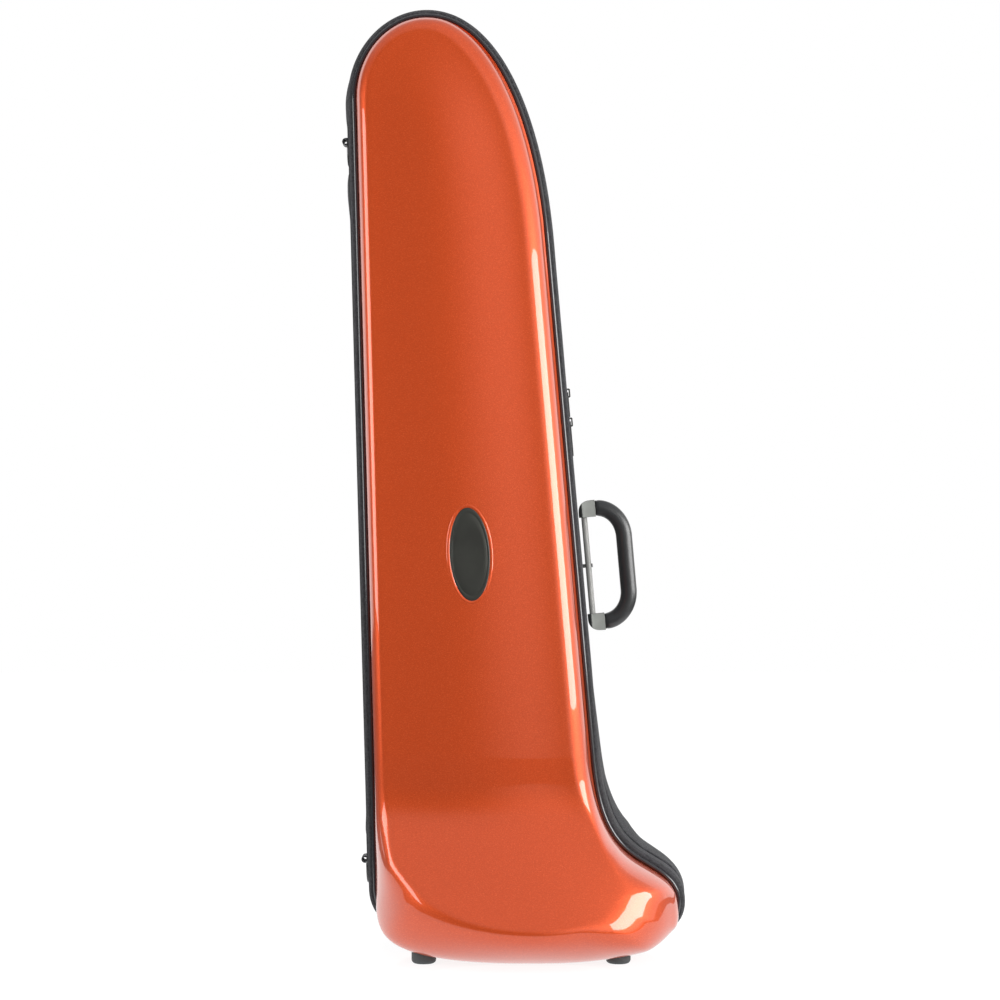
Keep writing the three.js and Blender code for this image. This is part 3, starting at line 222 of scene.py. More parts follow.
# Where the frame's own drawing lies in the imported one
BADGE_LOW, BADGE_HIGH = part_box("badge_plate")
LID_HINGE = next(joint for joint in frame["joints"] if joint["name"] == "lid_hinge")
ORIGIN = np.array([(BADGE_LOW.x + BADGE_HIGH.x) / 2 / MM - BADGE_X, LID_HINGE["pos_m"][1] / MM, 0.0])

# Camera
CAMERA_DISTANCE = 2800.0
CAMERA_HEIGHT = 450.0
FRAME_WIDE = 1000.0
SENSOR = 36.0

# How finely the rim is divided
ROWS = 300
FINE = 1500


# Rim tables
def bezier(a, b, c, d, count=FINE):
    t = np.linspace(0, 1, count)[:, None]
    return (1 - t) ** 3 * a + 3 * (1 - t) ** 2 * t * b + 3 * (1 - t) * t ** 2 * c + t ** 3 * d


def straight(a, b):
    t = np.linspace(0, 1, FINE)[:, None]
    return a + (b - a) * t


def unit(v):
    return v / np.linalg.norm(v, axis=-1, keepdims=True)


RIGHT_UP, LEFT_UP = unit(RIGHT_TOP - RIGHT_FOOT), unit(LEFT_TOP - LEFT_FOOT)


def curve(start, start_way, start_share, end, end_way, end_share):
    """A curve that leaves and arrives along given ways.

    Each handle's length is a share of the distance between the ends, on the main axis of its way.
    """
    first, last = (way * share * (end - start)[np.argmax(abs(way))]
                   for way, share in ((start_way, start_share), (end_way, end_share)))
    return bezier(start, start + first, end - last, end)


def edge_tables():
    """The rim's right and left edges, from the crown to the sole."""
    across, up = np.array([1.0, 0.0]), np.array([0.0, 1.0])
    angle = math.radians(FLARE_RUN_ANGLE)
    flare_run = np.array([math.cos(angle), -math.sin(angle)])
    right = [
        curve(CROWN, across, ROUND_SHARE, RIGHT_TOP, RIGHT_UP, ROUND_SHARE),
        straight(RIGHT_TOP, RIGHT_FOOT),
        curve(RIGHT_FOOT, RIGHT_UP, FLARE_TOP_SHARE, FLARE, flare_run, FLARE_RUN_SHARE),
        curve(FLARE, flare_run, TOE_RUN_SHARE, TOE, up, TOE_TOP_SHARE),
        curve(TOE, up, TOE_SOLE_SHARE, SOLE, across, SOLE_TOE_SHARE),
    ]
    left = [
        curve(CROWN, across, ROUND_SHARE, LEFT_TOP, LEFT_UP, ROUND_SHARE),
        straight(LEFT_TOP, LEFT_FOOT),
        curve(LEFT_FOOT, LEFT_UP, HEEL_SHARE, SOLE, across, SOLE_HEEL_SHARE),
    ]
    return [np.vstack([part[0 if k == 0 else 1:] for k, part in enumerate(edge)]) for edge in (right, left)]


RIGHT_EDGE, LEFT_EDGE = edge_tables()


def lengths(points, closed=False):
    """How far along a chain each of its points lies."""
    steps = np.linalg.norm(np.diff(points, axis=0), axis=1)
    if closed:
        steps = np.append(steps, np.linalg.norm(points[0] - points[-1]))
    return np.concatenate([[0], np.cumsum(steps)])


def by_height(edge, z, values):
    return np.interp(z, edge[::-1, 1], values[::-1])


def edge_at(edge, z, outward):
    """Place and outward normal of an edge at a height."""
    runs = unit(np.gradient(edge, axis=0))
    place = np.stack([by_height(edge, z, edge[:, 0]), z], axis=-1)
    normal = np.stack([by_height(edge, z, -runs[:, 1]), by_height(edge, z, runs[:, 0])], axis=-1)
    return place, unit(normal) * outward


def rim_tables():
    """Points round the rim, clockwise from the crown: right and left rows lie at the same heights."""
    z = np.unique(np.concatenate([RIGHT_EDGE[:, 1], LEFT_EDGE[:, 1]]))[::-1]
    run = by_height(RIGHT_EDGE, z, lengths(RIGHT_EDGE)) + by_height(LEFT_EDGE, z, lengths(LEFT_EDGE))
    heights = np.interp(np.linspace(0, run[-1], ROWS + 2)[1:-1], run, z)
    right, right_out = edge_at(RIGHT_EDGE, heights, 1)
    left, left_out = edge_at(LEFT_EDGE, heights, -1)
    place = np.vstack([[CROWN], right, [SOLE], left[::-1]])
    normal = np.vstack([[[0.0, 1.0]], right_out, [[0.0, -1.0]], left_out[::-1]])
    return place, normal


RIM, RIM_OUT = rim_tables()
COUNT = len(RIM)
INDEX = np.arange(COUNT)
HINGE_LOW, HINGE_HIGH = LEFT_FOOT[1] + HINGE_END_CLEAR, LEFT_TOP[1] - HINGE_END_CLEAR
ON_HINGE = (INDEX > ROWS + 1) & (RIM[:, 1] > HINGE_LOW) & (RIM[:, 1] < HINGE_HIGH)
HINGE_SPAN = np.flatnonzero(ON_HINGE)
ZIP_SPAN = np.arange(HINGE_SPAN[-1] + 1, COUNT + HINGE_SPAN[0]) % COUNT
RIM_RUN = lengths(RIM, closed=True)
RIM_FACING = np.column_stack([RIM_OUT[:, 0], np.zeros(COUNT), RIM_OUT[:, 1]])
BACK_EDGE = np.where(ON_HINGE, HINGE_SPLIT, ZIP_HALF + SEAT_GAP)


def smoothstep(x, low, high):
    t = np.clip((x - low) / (high - low), 0, 1)
    return t * t * (3 - 2 * t)


def swell_share(z):
    """The face's swell over the bell: it bends forward, then runs on at an even slope; 1 at full depth."""
    bent = np.clip((SWELL_START_Z - z) / SWELL_BEND, 0, 1)
    even_z = SWELL_START_Z - SWELL_BEND
    run = SWELL_BEND * (bent ** 3 - bent ** 4 / 2) + np.maximum(even_z - z, 0)
    return run / (SWELL_BEND / 2 + even_z - SWELL_FULL_Z)


def dome(x):
    """How far the swell falls back on the right, where it follows the bell's round."""
    u = np.clip((x - DOME_LEFT_X) / DOME_WIDE, 0, DOME_LIMIT)
    return DOME_DEEP * (1 - np.sqrt(1 - u * u))


def face_depth(x, z):
    fall = np.minimum((CROWN[1] - z) / (CROWN[1] - RIGHT_FOOT[1]), 1)
    swell = swell_share(z)
    return CROWN_DEPTH + (WAIST_DEPTH - CROWN_DEPTH) * fall + swell * (BELL_SWELL - dome(x))


def through(stations, places, where):
    """A smooth curve through places at rising stations: its places at the stations asked for."""
    slopes = np.gradient(places, stations, axis=0)
    k = np.clip(np.searchsorted(stations, where, side="right") - 1, 0, len(stations) - 2)
    step = (stations[k + 1] - stations[k])[:, None]
    t = (where - stations[k])[:, None] / step
    return ((1 + 2 * t) * (1 - t) ** 2 * places[k] + t * (1 - t) ** 2 * step * slopes[k]
            + t * t * (3 - 2 * t) * places[k + 1] + t * t * (t - 1) * step * slopes[k + 1])


def evened(values, rounds):
    """Values round the rim, each drawn towards its neighbours."""
    for _ in range(rounds):
        values = (np.roll(values, 1, axis=0) + 2 * values + np.roll(values, -1, axis=0)) / 4
    return values


def shoulder_tables():
    """Round the rim: the way in to the face's edge, how far it is, the wall's lean and the belly's share."""
    z = RIM[:, 1]
    turned = smoothstep(-RIM_OUT[:, 1], BELLY_TURN_SHARE, BELLY_FULL_TURN_SHARE)
    near_toe = 1 - smoothstep(np.linalg.norm(RIM - TOE, axis=1), *TOE_TIP_REACH)
    belly = BELLY_DROP * (1 - smoothstep(z, SOLE[1], BELLY_TOP_Z)) * turned * (1 - TOE_RELIEF * near_toe)
    upper = smoothstep(z, FLARE[1], RIGHT_FOOT[1])
    lean = RIGHT_LEAN * smoothstep(RIM_OUT[:, 0], *RIGHT_LEAN_SIDE) * upper - belly
    wide = SHOULDER_LEFT + (SHOULDER_RIGHT - SHOULDER_LEFT) * (RIM_OUT[:, 0] + 1) / 2
    edge = RIM - RIM_OUT * (lean + wide)[:, None]
    stations = [int(np.argmin(np.linalg.norm(RIM - place, axis=1))) for place, _ in BELL_EDGE]
    lead, tail = stations[0] - EDGE_LEAD_STEP * np.arange(3, 0, -1), stations[-1] + EDGE_LEAD_STEP * np.arange(1, 4)
    places = np.vstack([edge[lead], [inside for _, inside in BELL_EDGE], edge[tail]])
    span = np.arange(stations[0], stations[-1] + 1)
    edge[span] = through(np.concatenate([lead, stations, tail]).astype(float), places, span)
    way = RIM - evened(edge, EDGE_ROUNDS)
    reach = np.linalg.norm(way, axis=1)
    return way / reach[:, None], reach, lean, belly / BELLY_DROP


RIM_FOLD, RIM_REACH, RIM_LEAN, RIM_BELLY = shoulder_tables()


def ring(inset, depth, slide=0.0):
    """A ring of points round the rim, moved in along the normal and then the fold.

    Depth is y, or gives y from the moved points' places.
    """
    inset, slide = (np.broadcast_to(share, COUNT)[:, None] for share in (inset, slide))
    moved = RIM - RIM_OUT * inset - RIM_FOLD * slide
    y = depth(moved[:, 0], moved[:, 1]) if callable(depth) else np.broadcast_to(depth, COUNT)
    return np.column_stack([moved[:, 0], y, moved[:, 1]])


def lid_rings(skin, arc_steps, back_y, wall_steps=3, ease=0.0):
    """Rings of the lid's surface at a depth below its outer skin, from the rim to the edge of its face."""
    z = RIM[:, 1]
    bell = 1 - smoothstep(z, BELL_SHOULDER_FULL_Z, BELL_SHOULDER_TOP_Z)
    most = face_depth(RIM[:, 0], z) - RIM_DEPTH - LEAST_WALL_HIGH - BELLY_WALL_HIGH * RIM_BELLY ** BELLY_WALL_POWER
    rise = SHOULDER_RISE + (most - SHOULDER_RISE) * bell
    wall = face_depth(RIM[:, 0], z) - rise
    lean = RIM_LEAN + WALL_DRAFT * (wall - RIM_DEPTH) * (1 - bell)
    wide = RIM_REACH - lean - skin
    rise = rise - skin
    turn = SHOULDER_TURN_SHARE * wide
    bell_turn = BELL_TURN + (FLARE_TURN - BELL_TURN) * smoothstep(RIM_OUT[:, 0], *BELL_TURN_SIDE)
    toe = 1 - smoothstep(np.linalg.norm(RIM - TOE, axis=1), *TOE_REACH)
    bell_turn = bell_turn + (TOE_TURN - bell_turn) * toe
    turn = np.minimum(turn + (bell_turn - turn) * bell, wide * TURN_LIMIT)
    bell_start = BELL_START_SHARE + (TOE_START_SHARE - BELL_START_SHARE) * toe
    start = SHOULDER_TURN_SHARE + (bell_start - SHOULDER_TURN_SHARE) * bell
    straight_end = RIM_DEPTH + 2 * PIPING_RADIUS + SEAT_GAP
    rings = [ring(skin, back_y)] if back_y > -RIM_DEPTH else []
    rings.append(ring(skin, -RIM_DEPTH))
    for t in np.linspace(0, 1, wall_steps, endpoint=False):
        rings.append(ring(skin, -(straight_end + (wall - straight_end) * t), lean * math.sin(t * math.pi / 2)))
    for t in np.linspace(0, 1, arc_steps + 1):
        slide = lean + 3 * (1 - t) * t ** 2 * (wide - turn) + t ** 3 * wide
        high = 3 * (1 - t) ** 2 * t * start + 3 * (1 - t) * t ** 2 + t ** 3
        rings.append(ring(skin, lambda x, z, high=high: -(
            face_depth(x, z) - skin - ease * high * swell_share(z) - rise * (1 - high)), slide))
    return rings


def sides_of(edge):
    """A ring's left and right rows, from the crown down."""
    return edge[ROWS + 2:][::-1], edge[1:ROWS + 1]


def face_grid(edge, columns, depth_at):
    """Rows of points from the left of a ring to its right. depth_at gives y at a place and its share across."""
    left, right = sides_of(edge)
    share = np.linspace(0, 1, columns + 1)
    grid = left[:, None] + (right - left)[:, None] * share[None, :, None]
    inner = grid[:, 1:-1]
    grid[:, 1:-1, 1] = depth_at(inner[..., 0], inner[..., 2], np.broadcast_to(2 * share[1:-1] - 1, inner.shape[:2]))
    return grid


def lid_face_y(skin, ease=0.0):
    def y(x, z, across):
        crown = FACE_CROWN * smoothstep(z, *CROWN_FADE_LOW) * (1 - smoothstep(z, *CROWN_FADE_HIGH))
        return -(face_depth(x, z) - skin - ease * swell_share(z) + crown * (1 - across ** 2) ** 2)

    return y


def flat_y(y):
    return lambda x, z, across: np.full(z.shape, y)


# Meshes
def to_frame(points):
    return (np.asarray(points, float) + ORIGIN) * MM


class Skin:
    """Quads and fans gathered sheet by sheet and welded when the mesh is made."""

    def __init__(self):
        self.places, self.faces, self.uvs, self.count = [], [], [], 0

    def sheet(self, grid, around=False, turned=False, uv=None):
        grid = np.asarray(grid, float)
        rows, columns = grid.shape[:2]
        if uv is None:
            u, v = lengths(grid[rows // 2], closed=around), lengths(grid[:, columns // 2])
            uv = np.stack(np.meshgrid(u, v), axis=-1)
        r, c = (index.ravel() for index in np.indices((rows - 1, columns if around else columns - 1)))
        right = (c + 1) % columns
        corners = [(r, c, c), (r, right, c + 1), (r + 1, right, c + 1), (r + 1, c, c)]
        if turned:
            corners.reverse()
        faces = np.stack([row * columns + column for row, column, _ in corners], axis=1)
        self.faces += (faces + self.count).tolist()
        self.uvs.append(np.stack([uv[row, place] for row, _, place in corners], axis=1).reshape(-1, 2))
        self.places.append(grid.reshape(-1, 3))
        self.count += rows * columns

    def fan(self, centre, row, turned=False):
        points = np.vstack([[centre], row])
        for k in range(1, len(row)):
            face = [k + 1, k, 0] if turned else [0, k, k + 1]
            self.faces.append([self.count + corner for corner in face])
            self.uvs.append(points[face][:, [0, 2]])
        self.places.append(points)
        self.count += len(points)

    def cap(self, row, turned=False, centre=None):
        """A fan that closes a ring, from its middle or from a given centre."""
        row = np.asarray(row, float)
        self.fan(row.mean(axis=0) if centre is None else centre, np.vstack([row, row[:1]]), turned)

    def face(self, edge, columns, depth_at, turned=False):
        """A face that fills a ring round the rim."""
        grid = face_grid(np.asarray(edge), columns, depth_at)
        self.sheet(grid, turned=turned, uv=grid[..., [0, 2]])
        self.fan(edge[0], grid[0], not turned)
        self.fan(edge[ROWS + 1], grid[-1], turned)

    def piece(self, name, *materials):
        mesh = bpy.data.meshes.new(name)
        mesh.from_pydata(to_frame(np.vstack(self.places)).tolist(), [], self.faces)
        layer = mesh.uv_layers.new(name="surface")
        layer.data.foreach_set("uv", (np.vstack(self.uvs) * MM).astype(np.float32).ravel())
        return finished(name, mesh, materials, weld=True)


@contextlib.contextmanager
def edited(mesh):
    """A mesh opened for editing and written back at the end."""
    work = bmesh.new()
    work.from_mesh(mesh)
    yield work
    work.to_mesh(mesh)
    work.free()


def shade_smooth(mesh):
    mesh.polygons.foreach_set("use_smooth", [True] * len(mesh.polygons))


def placed(name, data):
    """A new object in the scene."""
    thing = bpy.data.objects.new(name, data)
    bpy.context.scene.collection.objects.link(thing)
    return thing


def finished(name, mesh, materials, weld=False, smooth=True):
    """An object of a mesh; a welded one has its faces pointing out."""
    if weld:
        with edited(mesh) as work:
            bmesh.ops.remove_doubles(work, verts=work.verts, dist=WELD)
            bmesh.ops.recalc_face_normals(work, faces=work.faces)
    for material in materials:
        mesh.materials.append(material)
    if smooth:
        shade_smooth(mesh)
    return placed(name, mesh)


def hoop(name, rings, *materials, span=None):
    """A closed or open hoop round the rim, whose section is the closed chain of rings."""
    section = np.asarray(rings)[:, slice(None) if span is None else span]
    skin = Skin()
    skin.sheet(np.concatenate([section, section[:1]]), around=span is None)
    if span is not None:
        skin.cap(section[:, 0])
        skin.cap(section[:, -1], turned=True)
    return skin.piece(name, *materials)


def bend_round(points, radius, steps):
    """Corners of a section rounded: each corner becomes a short curve of two-number points."""
    points = np.asarray(points, float)
    rounded = []
    for k, corner in enumerate(points):
        before, after = points[k - 1] - corner, points[(k + 1) % len(points)] - corner
        start, end = corner + unit(before) * radius, corner + unit(after) * radius
        for t in np.linspace(0, 1, steps + 1):
            rounded.append((1 - t) ** 2 * start + 2 * (1 - t) * t * corner + t ** 2 * end)
    return np.array(rounded)


def sampled(run, chain, where):
    """Places on a chain at lengths along it."""
    return np.stack([np.interp(where, run, column) for column in chain.T], axis=1)


def along(points, pitch, closed=False, offset=0.0):
    """Places at an even pitch on a chain, the runs there and how far along they lie."""
    run = lengths(points, closed)
    chain = np.vstack([points, points[:1]]) if closed else points
    number = int((run[-1] - offset) / pitch)
    at = offset + (run[-1] / number if closed else pitch) * np.arange(number)
    before, after = sampled(run, chain, at - pitch / 2), sampled(run, chain, at + pitch / 2)
    return sampled(run, chain, at), unit(after - before), at


def scatter(name, places, runs, outs, shape, faces, material):
    """Copies of a small solid: its x lies along the run, its z points out."""
    outs = unit(outs - runs * np.sum(outs * runs, axis=1, keepdims=True))
    axes = np.stack([runs, np.cross(outs, runs), outs], axis=1)
    points = places[:, None] + shape @ axes
    steps = np.arange(len(places)) * len(shape)
    mesh = bpy.data.meshes.new(name)
    mesh.from_pydata(to_frame(points.reshape(-1, 3)).tolist(), [],
                     [[corner + step for corner in face] for step in steps for face in faces])
    return finished(name, mesh, [material])


def thread_shape(half, radius):
    """A short flattened thread along x with tapered tips."""
    sides, tip, flat, full = 6, 0.55, 0.75, 0.7
    stations = [(-half, radius * tip), (-half * full, radius), (half * full, radius), (half, radius * tip)]
    angles = 2 * math.pi * np.arange(sides) / sides
    points = [(x, wide * math.cos(angle), wide * flat * math.sin(angle)) for x, wide in stations for angle in angles]
    faces = [[s * sides + k, (s + 1) * sides + k, (s + 1) * sides + (k + 1) % sides, s * sides + (k + 1) % sides]
             for s in range(len(stations) - 1) for k in range(sides)]
    last = range(len(points) - sides, len(points))
    return np.array(points), faces + [list(range(sides)), list(last)[::-1]]


def tooth_shape(long, near, far, high, ease):
    """A moulded zip tooth: a block along y from near to far with eased top edges."""
    def corners(less, z):
        x, front, back = long / 2 - less, near + less, far - less
        return [(-x, front, z), (x, front, z), (x, back, z), (-x, back, z)]

    faces = [[3, 2, 1, 0], [8, 9, 10, 11]]
    for k in range(4):
        n = (k + 1) % 4
        faces += [[k, n, 4 + n, 4 + k], [4 + k, 4 + n, 8 + n, 8 + k]]
    return np.array(corners(0.0, 0.0) + corners(0.0, high - ease) + corners(ease, high)), faces


def tube(name, path, radius, material, sides, closed=False, up=(0.0, 1.0, 0.0)):
    """A round tube along a path in the case's own drawing."""
    runs = unit(np.roll(path, -1, axis=0) - np.roll(path, 1, axis=0) if closed else np.gradient(path, axis=0))
    side = unit(np.cross(runs, up))
    top = np.cross(side, runs)
    angles = np.linspace(0, 2 * math.pi, sides, endpoint=False)[:, None]
    radius = np.broadcast_to(radius, len(path))
    grid = path[:, None] + radius[:, None, None] * (side[:, None] * np.cos(angles) + top[:, None] * np.sin(angles))
    skin = Skin()
    skin.sheet(np.concatenate([grid, grid[:1]]) if closed else grid, around=True)
    if not closed:
        skin.cap(grid[0], turned=True, centre=path[0])
        skin.cap(grid[-1], centre=path[-1])
    return skin.piece(name, material)


def node_places(node):
    """The corners of a node's solid in the case's own drawing."""
    return np.array([vertex.co for vertex in frame["nodes"][node].data.vertices]) / MM - ORIGIN


def apply_modifiers(piece):
    bpy.context.view_layer.update()
    graph = bpy.context.evaluated_depsgraph_get()
    mesh = bpy.data.meshes.new_from_object(piece.evaluated_get(graph), depsgraph=graph)
    piece.modifiers.clear()
    piece.data = mesh


def modified(piece, kind, **settings):
    """A modifier with its settings, put on a piece."""
    modifier = piece.modifiers.new(kind.lower(), kind)
    for key, value in settings.items():
        setattr(modifier, key, value)


def copied(name, node, *materials):
    """A new piece with a node's solid, its flat faces whole again."""
    mesh = frame["nodes"][node].data.copy()
    mesh.materials.clear()
    with edited(mesh) as work:
        bmesh.ops.remove_doubles(work, verts=work.verts, dist=SOLID_WELD)
        bmesh.ops.dissolve_limit(work, angle_limit=FLAT_ANGLE, verts=work.verts, edges=work.edges)
    piece = finished(name, mesh, materials, smooth=False)
    for layer in list(mesh.color_attributes):
        mesh.color_attributes.remove(layer)
    return piece


def bevelled(name, node, width, *materials, segments=3, angle=28.0):
    """A node's solid with its edges eased and shaded smooth."""
    piece = copied(name, node, *materials)
    modified(piece, "BEVEL", width=width * MM, segments=segments, limit_method="ANGLE",
             angle_limit=math.radians(angle), use_clamp_overlap=True)
    apply_modifiers(piece)
    shade_smooth(piece.data)
    modified(piece, "WEIGHTED_NORMAL", keep_sharp=True)
    apply_modifiers(piece)
    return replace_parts(piece, node)


def softened(name, node, voxel, rounds):
    """A foam block in its plush cover: a node's solid with its edges worn round."""
    piece = copied(name, node, FOAM)
    modified(piece, "REMESH", mode="VOXEL", voxel_size=voxel * MM)
    modified(piece, "SMOOTH", iterations=rounds, factor=0.5)
    apply_modifiers(piece)
    shade_smooth(piece.data)
    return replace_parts(piece, node)


# Materials
def shader(name, colour, roughness, **sockets):
    """The nodes of a new principled material."""
    nodes = Nodes(bpy.data.materials.new(name))
    nodes.paint(Base_Color=colour, Roughness=roughness, **sockets)
    return nodes


class Nodes:
    """Short names for adding and linking nodes. A value is a number, a tuple or another node's output."""

    def __init__(self, owner):
        owner.use_nodes = True
        self.owner, self.tree = owner, owner.node_tree

    def give(self, socket, value):
        if isinstance(value, bpy.types.NodeSocket):
            self.tree.links.new(value, socket)
        else:
            socket.default_value = (*value, 1) if socket.type == "RGBA" else value

    def paint(self, **sockets):
        """Gives the principled shader values, by its sockets' names with underscores for blanks."""
        for name, value in sockets.items():
            self.give(self.tree.nodes["Principled BSDF"].inputs[name.replace("_", " ")], value)
        return self.owner

    def add(self, kind, inputs=None, **settings):
        node = self.tree.nodes.new("ShaderNode" + kind)
        for key, value in settings.items():
            setattr(node, key, value)
        for key, value in (inputs or {}).items():
            self.give(node.inputs[key], value)
        return node

    def coordinates(self, output, scale=1.0):
        place = self.add("TexCoord").outputs[output]
        return self.add("Mapping", {"Vector": place, "Scale": (scale,) * 3}).outputs["Vector"]

    def split(self, output):
        """The parts of a coordinate."""
        return self.add("SeparateXYZ", {0: self.add("TexCoord").outputs[output]}).outputs

    def noise(self, vector, scale, detail, rough):
        values = {"Vector": vector, "Scale": scale, "Detail": detail, "Roughness": rough}
        return self.add("TexNoise", values).outputs["Fac"]

    def wave(self, vector, direction, distortion=0.0):
        """Bands with one thread to each unit of the coordinates."""
        return self.add("TexWave", {"Vector": vector, "Scale": math.pi / 10, "Distortion": distortion},
                        wave_type="BANDS", bands_direction=direction, wave_profile="SIN").outputs["Fac"]

    def ramp(self, factor, stops):
        node = self.add("ValToRGB", {"Fac": factor})
        elements = node.color_ramp.elements
        while len(elements) < len(stops):
            elements.new(0.5)
        for element, (place, colour) in zip(elements, stops):
            element.position = place
            element.color = (*colour, 1)
        return node.outputs["Color"]

    def maths(self, operation, *values, kind="Math"):
        return self.add(kind, dict(enumerate(values)), operation=operation).outputs[0]

    def mix(self, factor, first, second):
        return self.add("Mix", {"Factor": factor, 6: first, 7: second}, data_type="RGBA").outputs[2]

    def blend(self, factor, first, second):
        """A mix of two shaders."""
        return self.add("MixShader", {"Fac": factor, 1: first, 2: second}).outputs[0]

    def bump(self, height, distance, strength=1.0, **under):
        values = {"Strength": strength, "Distance": distance * MM, "Height": height, **under}
        return self.add("Bump", values).outputs["Normal"]


def scaled(colour, factor):
    return tuple(channel * factor for channel in colour)


def flake_paint():
    """Metallic orange under a clear coat: fine flakes that differ in tone and tilt, the brightest of them painted
    glints.
    """
    orange, painted_glint_flake = (0.62, 0.070, 0.010), (0.78, 0.13, 0.035)
    flake_size, tilt = 0.36, 0.09
    nodes = shader("metallic_orange", orange, 0.44, Metallic=0.6, Coat_Weight=1.0, Coat_Roughness=0.02, Coat_IOR=1.6)
    vector = nodes.coordinates("Object", 1 / (flake_size * MM))
    flakes = nodes.add("TexVoronoi", {"Vector": vector, "Scale": 1.0}).outputs["Color"]
    split = nodes.add("SeparateColor", {"Color": flakes})
    # The top flakes get a brighter colour under any light: painted glints.
    shade = nodes.ramp(split.outputs[0], [(0.0, scaled(orange, 0.88)), (0.85, scaled(orange, 1.06)),
                                          (1.0, painted_glint_flake)])

    def vector_maths(operation, *values):
        return nodes.maths(operation, *values, kind="VectorMath")

    tilted = vector_maths("MULTIPLY_ADD", flakes, (tilt,) * 3, (-tilt / 2,) * 3)
    joined = vector_maths("ADD", nodes.add("NewGeometry").outputs["Normal"], tilted)
    return nodes.paint(Base_Color=shade, Normal=vector_maths("NORMALIZE", joined))


def woven(name, colour, pitch, depth):
    """Plain-woven cloth on the surface's own coordinates, with a grain, soft patches of wear and painted shade in the
    weave's hollows.
    """
    nodes = shader(name, colour, 0.8, Sheen_Weight=0.08, Sheen_Roughness=0.45, Specular_IOR_Level=0.22)
    vector = nodes.coordinates("UV", 1 / (pitch * MM))
    over = nodes.add("TexChecker", {"Vector": vector, "Scale": 1.0}).outputs["Fac"]
    thread = nodes.mix(over, nodes.wave(vector, "X"), nodes.wave(vector, "Y"))
    place = nodes.coordinates("Object")
    patches = nodes.noise(place, 14.0, 4.0, 0.6)
    grain = nodes.noise(place, 520.0, 2.0, 0.6)
    mottle = nodes.maths("ADD", nodes.maths("MULTIPLY", patches, 0.35), nodes.maths("MULTIPLY", grain, 0.65))
    shade = nodes.ramp(mottle, [(0.42, scaled(colour, 0.5)), (0.58, scaled(colour, 1.5))])
    fuzz = nodes.bump(patches, depth * 2.5, 0.4)
    # Darker where the threads lie low: painted shade in the weave's hollows.
    return nodes.paint(Base_Color=nodes.mix(thread, scaled(colour, 0.55), shade),
                       Normal=nodes.bump(thread, depth, 0.9, Normal=fuzz))


def ribbed(name, colour, pitch, depth):
    """Webbing or tape: slanting ribs, with painted shade in their troughs and painted highlight on their crests."""
    nodes = shader(name, colour, 0.7, Sheen_Weight=0.25)
    ribs = nodes.wave(nodes.coordinates("Object", 1 / (pitch * MM)), "DIAGONAL", 0.6)
    # Darker in the troughs and lighter on the crests of the ribs: painted shade and painted highlight.
    return nodes.paint(Base_Color=nodes.mix(ribs, scaled(colour, 0.6), scaled(colour, 1.3)),
                       Normal=nodes.bump(ribs, depth))


def plush(name, colour):
    """Short pile: soft mottling, fine fibres with painted shade between them, and a light sheen."""
    nodes = shader(name, colour, 0.95, Sheen_Weight=0.8, Sheen_Roughness=0.5, Specular_IOR_Level=0.15)
    vector = nodes.coordinates("Object")
    patches = nodes.noise(vector, 45.0, 4.0, 0.65)
    fibres = nodes.noise(vector, 1600.0, 2.0, 0.7)
    base = nodes.ramp(patches, [(0.3, scaled(colour, 0.72)), (0.7, scaled(colour, 1.35))])
    # Darker where the fine fibres lie low: painted shade between the fibres.
    return nodes.paint(Base_Color=nodes.mix(fibres, scaled(colour, 0.5), base),
                       Normal=nodes.bump(fibres, 0.35, 0.8, Normal=nodes.bump(patches, 0.7, 0.5)))


def moulded(name, colour, roughness, grain, depth, **sockets):
    """Moulded plastic, rubber or cast metal with a fine grain and uneven gloss."""
    nodes = shader(name, colour, roughness, **sockets)
    vector = nodes.coordinates("Object")
    fine = nodes.noise(vector, 1000.0 / grain, 3.0, 0.6)
    broad = nodes.noise(vector, 30.0, 3.0, 0.55)
    shade = nodes.ramp(broad, [(0.3, scaled(colour, 0.88)), (0.7, scaled(colour, 1.12))])
    gloss = nodes.add("MapRange", {"Value": broad, "To Min": roughness * 0.88, "To Max": roughness * 1.14})
    return nodes.paint(Base_Color=shade, Roughness=gloss.outputs["Result"], Normal=nodes.bump(fine, depth))


CLOTH_COLOUR = (0.043, 0.043, 0.047)
ORANGE = flake_paint()
CLOTH = woven("black_nylon", CLOTH_COLOUR, 0.8, 0.16)
GUSSET_CLOTH = woven("gusset_nylon", scaled(CLOTH_COLOUR, 0.7), 0.7, 0.12)
PIPING = moulded("gloss_piping", (0.022, 0.021, 0.024), 0.17, 2.0, 0.01, Coat_Weight=0.6, Coat_Roughness=0.06)
TAPE = ribbed("zip_tape", (0.008, 0.008, 0.009), 0.9, 0.08)
TEETH = moulded("zip_teeth", (0.030, 0.030, 0.031), 0.3, 0.8, 0.01)
WEBBING = ribbed("webbing", (0.020, 0.021, 0.025), 1.8, 0.3)
THREAD = moulded("thread", (0.055, 0.056, 0.062), 0.6, 0.5, 0.03)
PLUSH = plush("grey_plush", (0.050, 0.052, 0.060))
FOAM = plush("dark_plush", (0.034, 0.036, 0.043))
RUBBER = moulded("satin_rubber", (0.020, 0.021, 0.022), 0.36, 0.9, 0.03, Specular_IOR_Level=0.75)
FOOT_RUBBER = moulded("foot_rubber", (0.045, 0.049, 0.050), 0.6, 0.9, 0.04)
COLLAR = moulded("black_collar", (0.008, 0.008, 0.009), 0.5, 0.9, 0.02)
LUG = moulded("lug_grey", (0.30, 0.31, 0.29), 0.5, 0.5, 0.02)
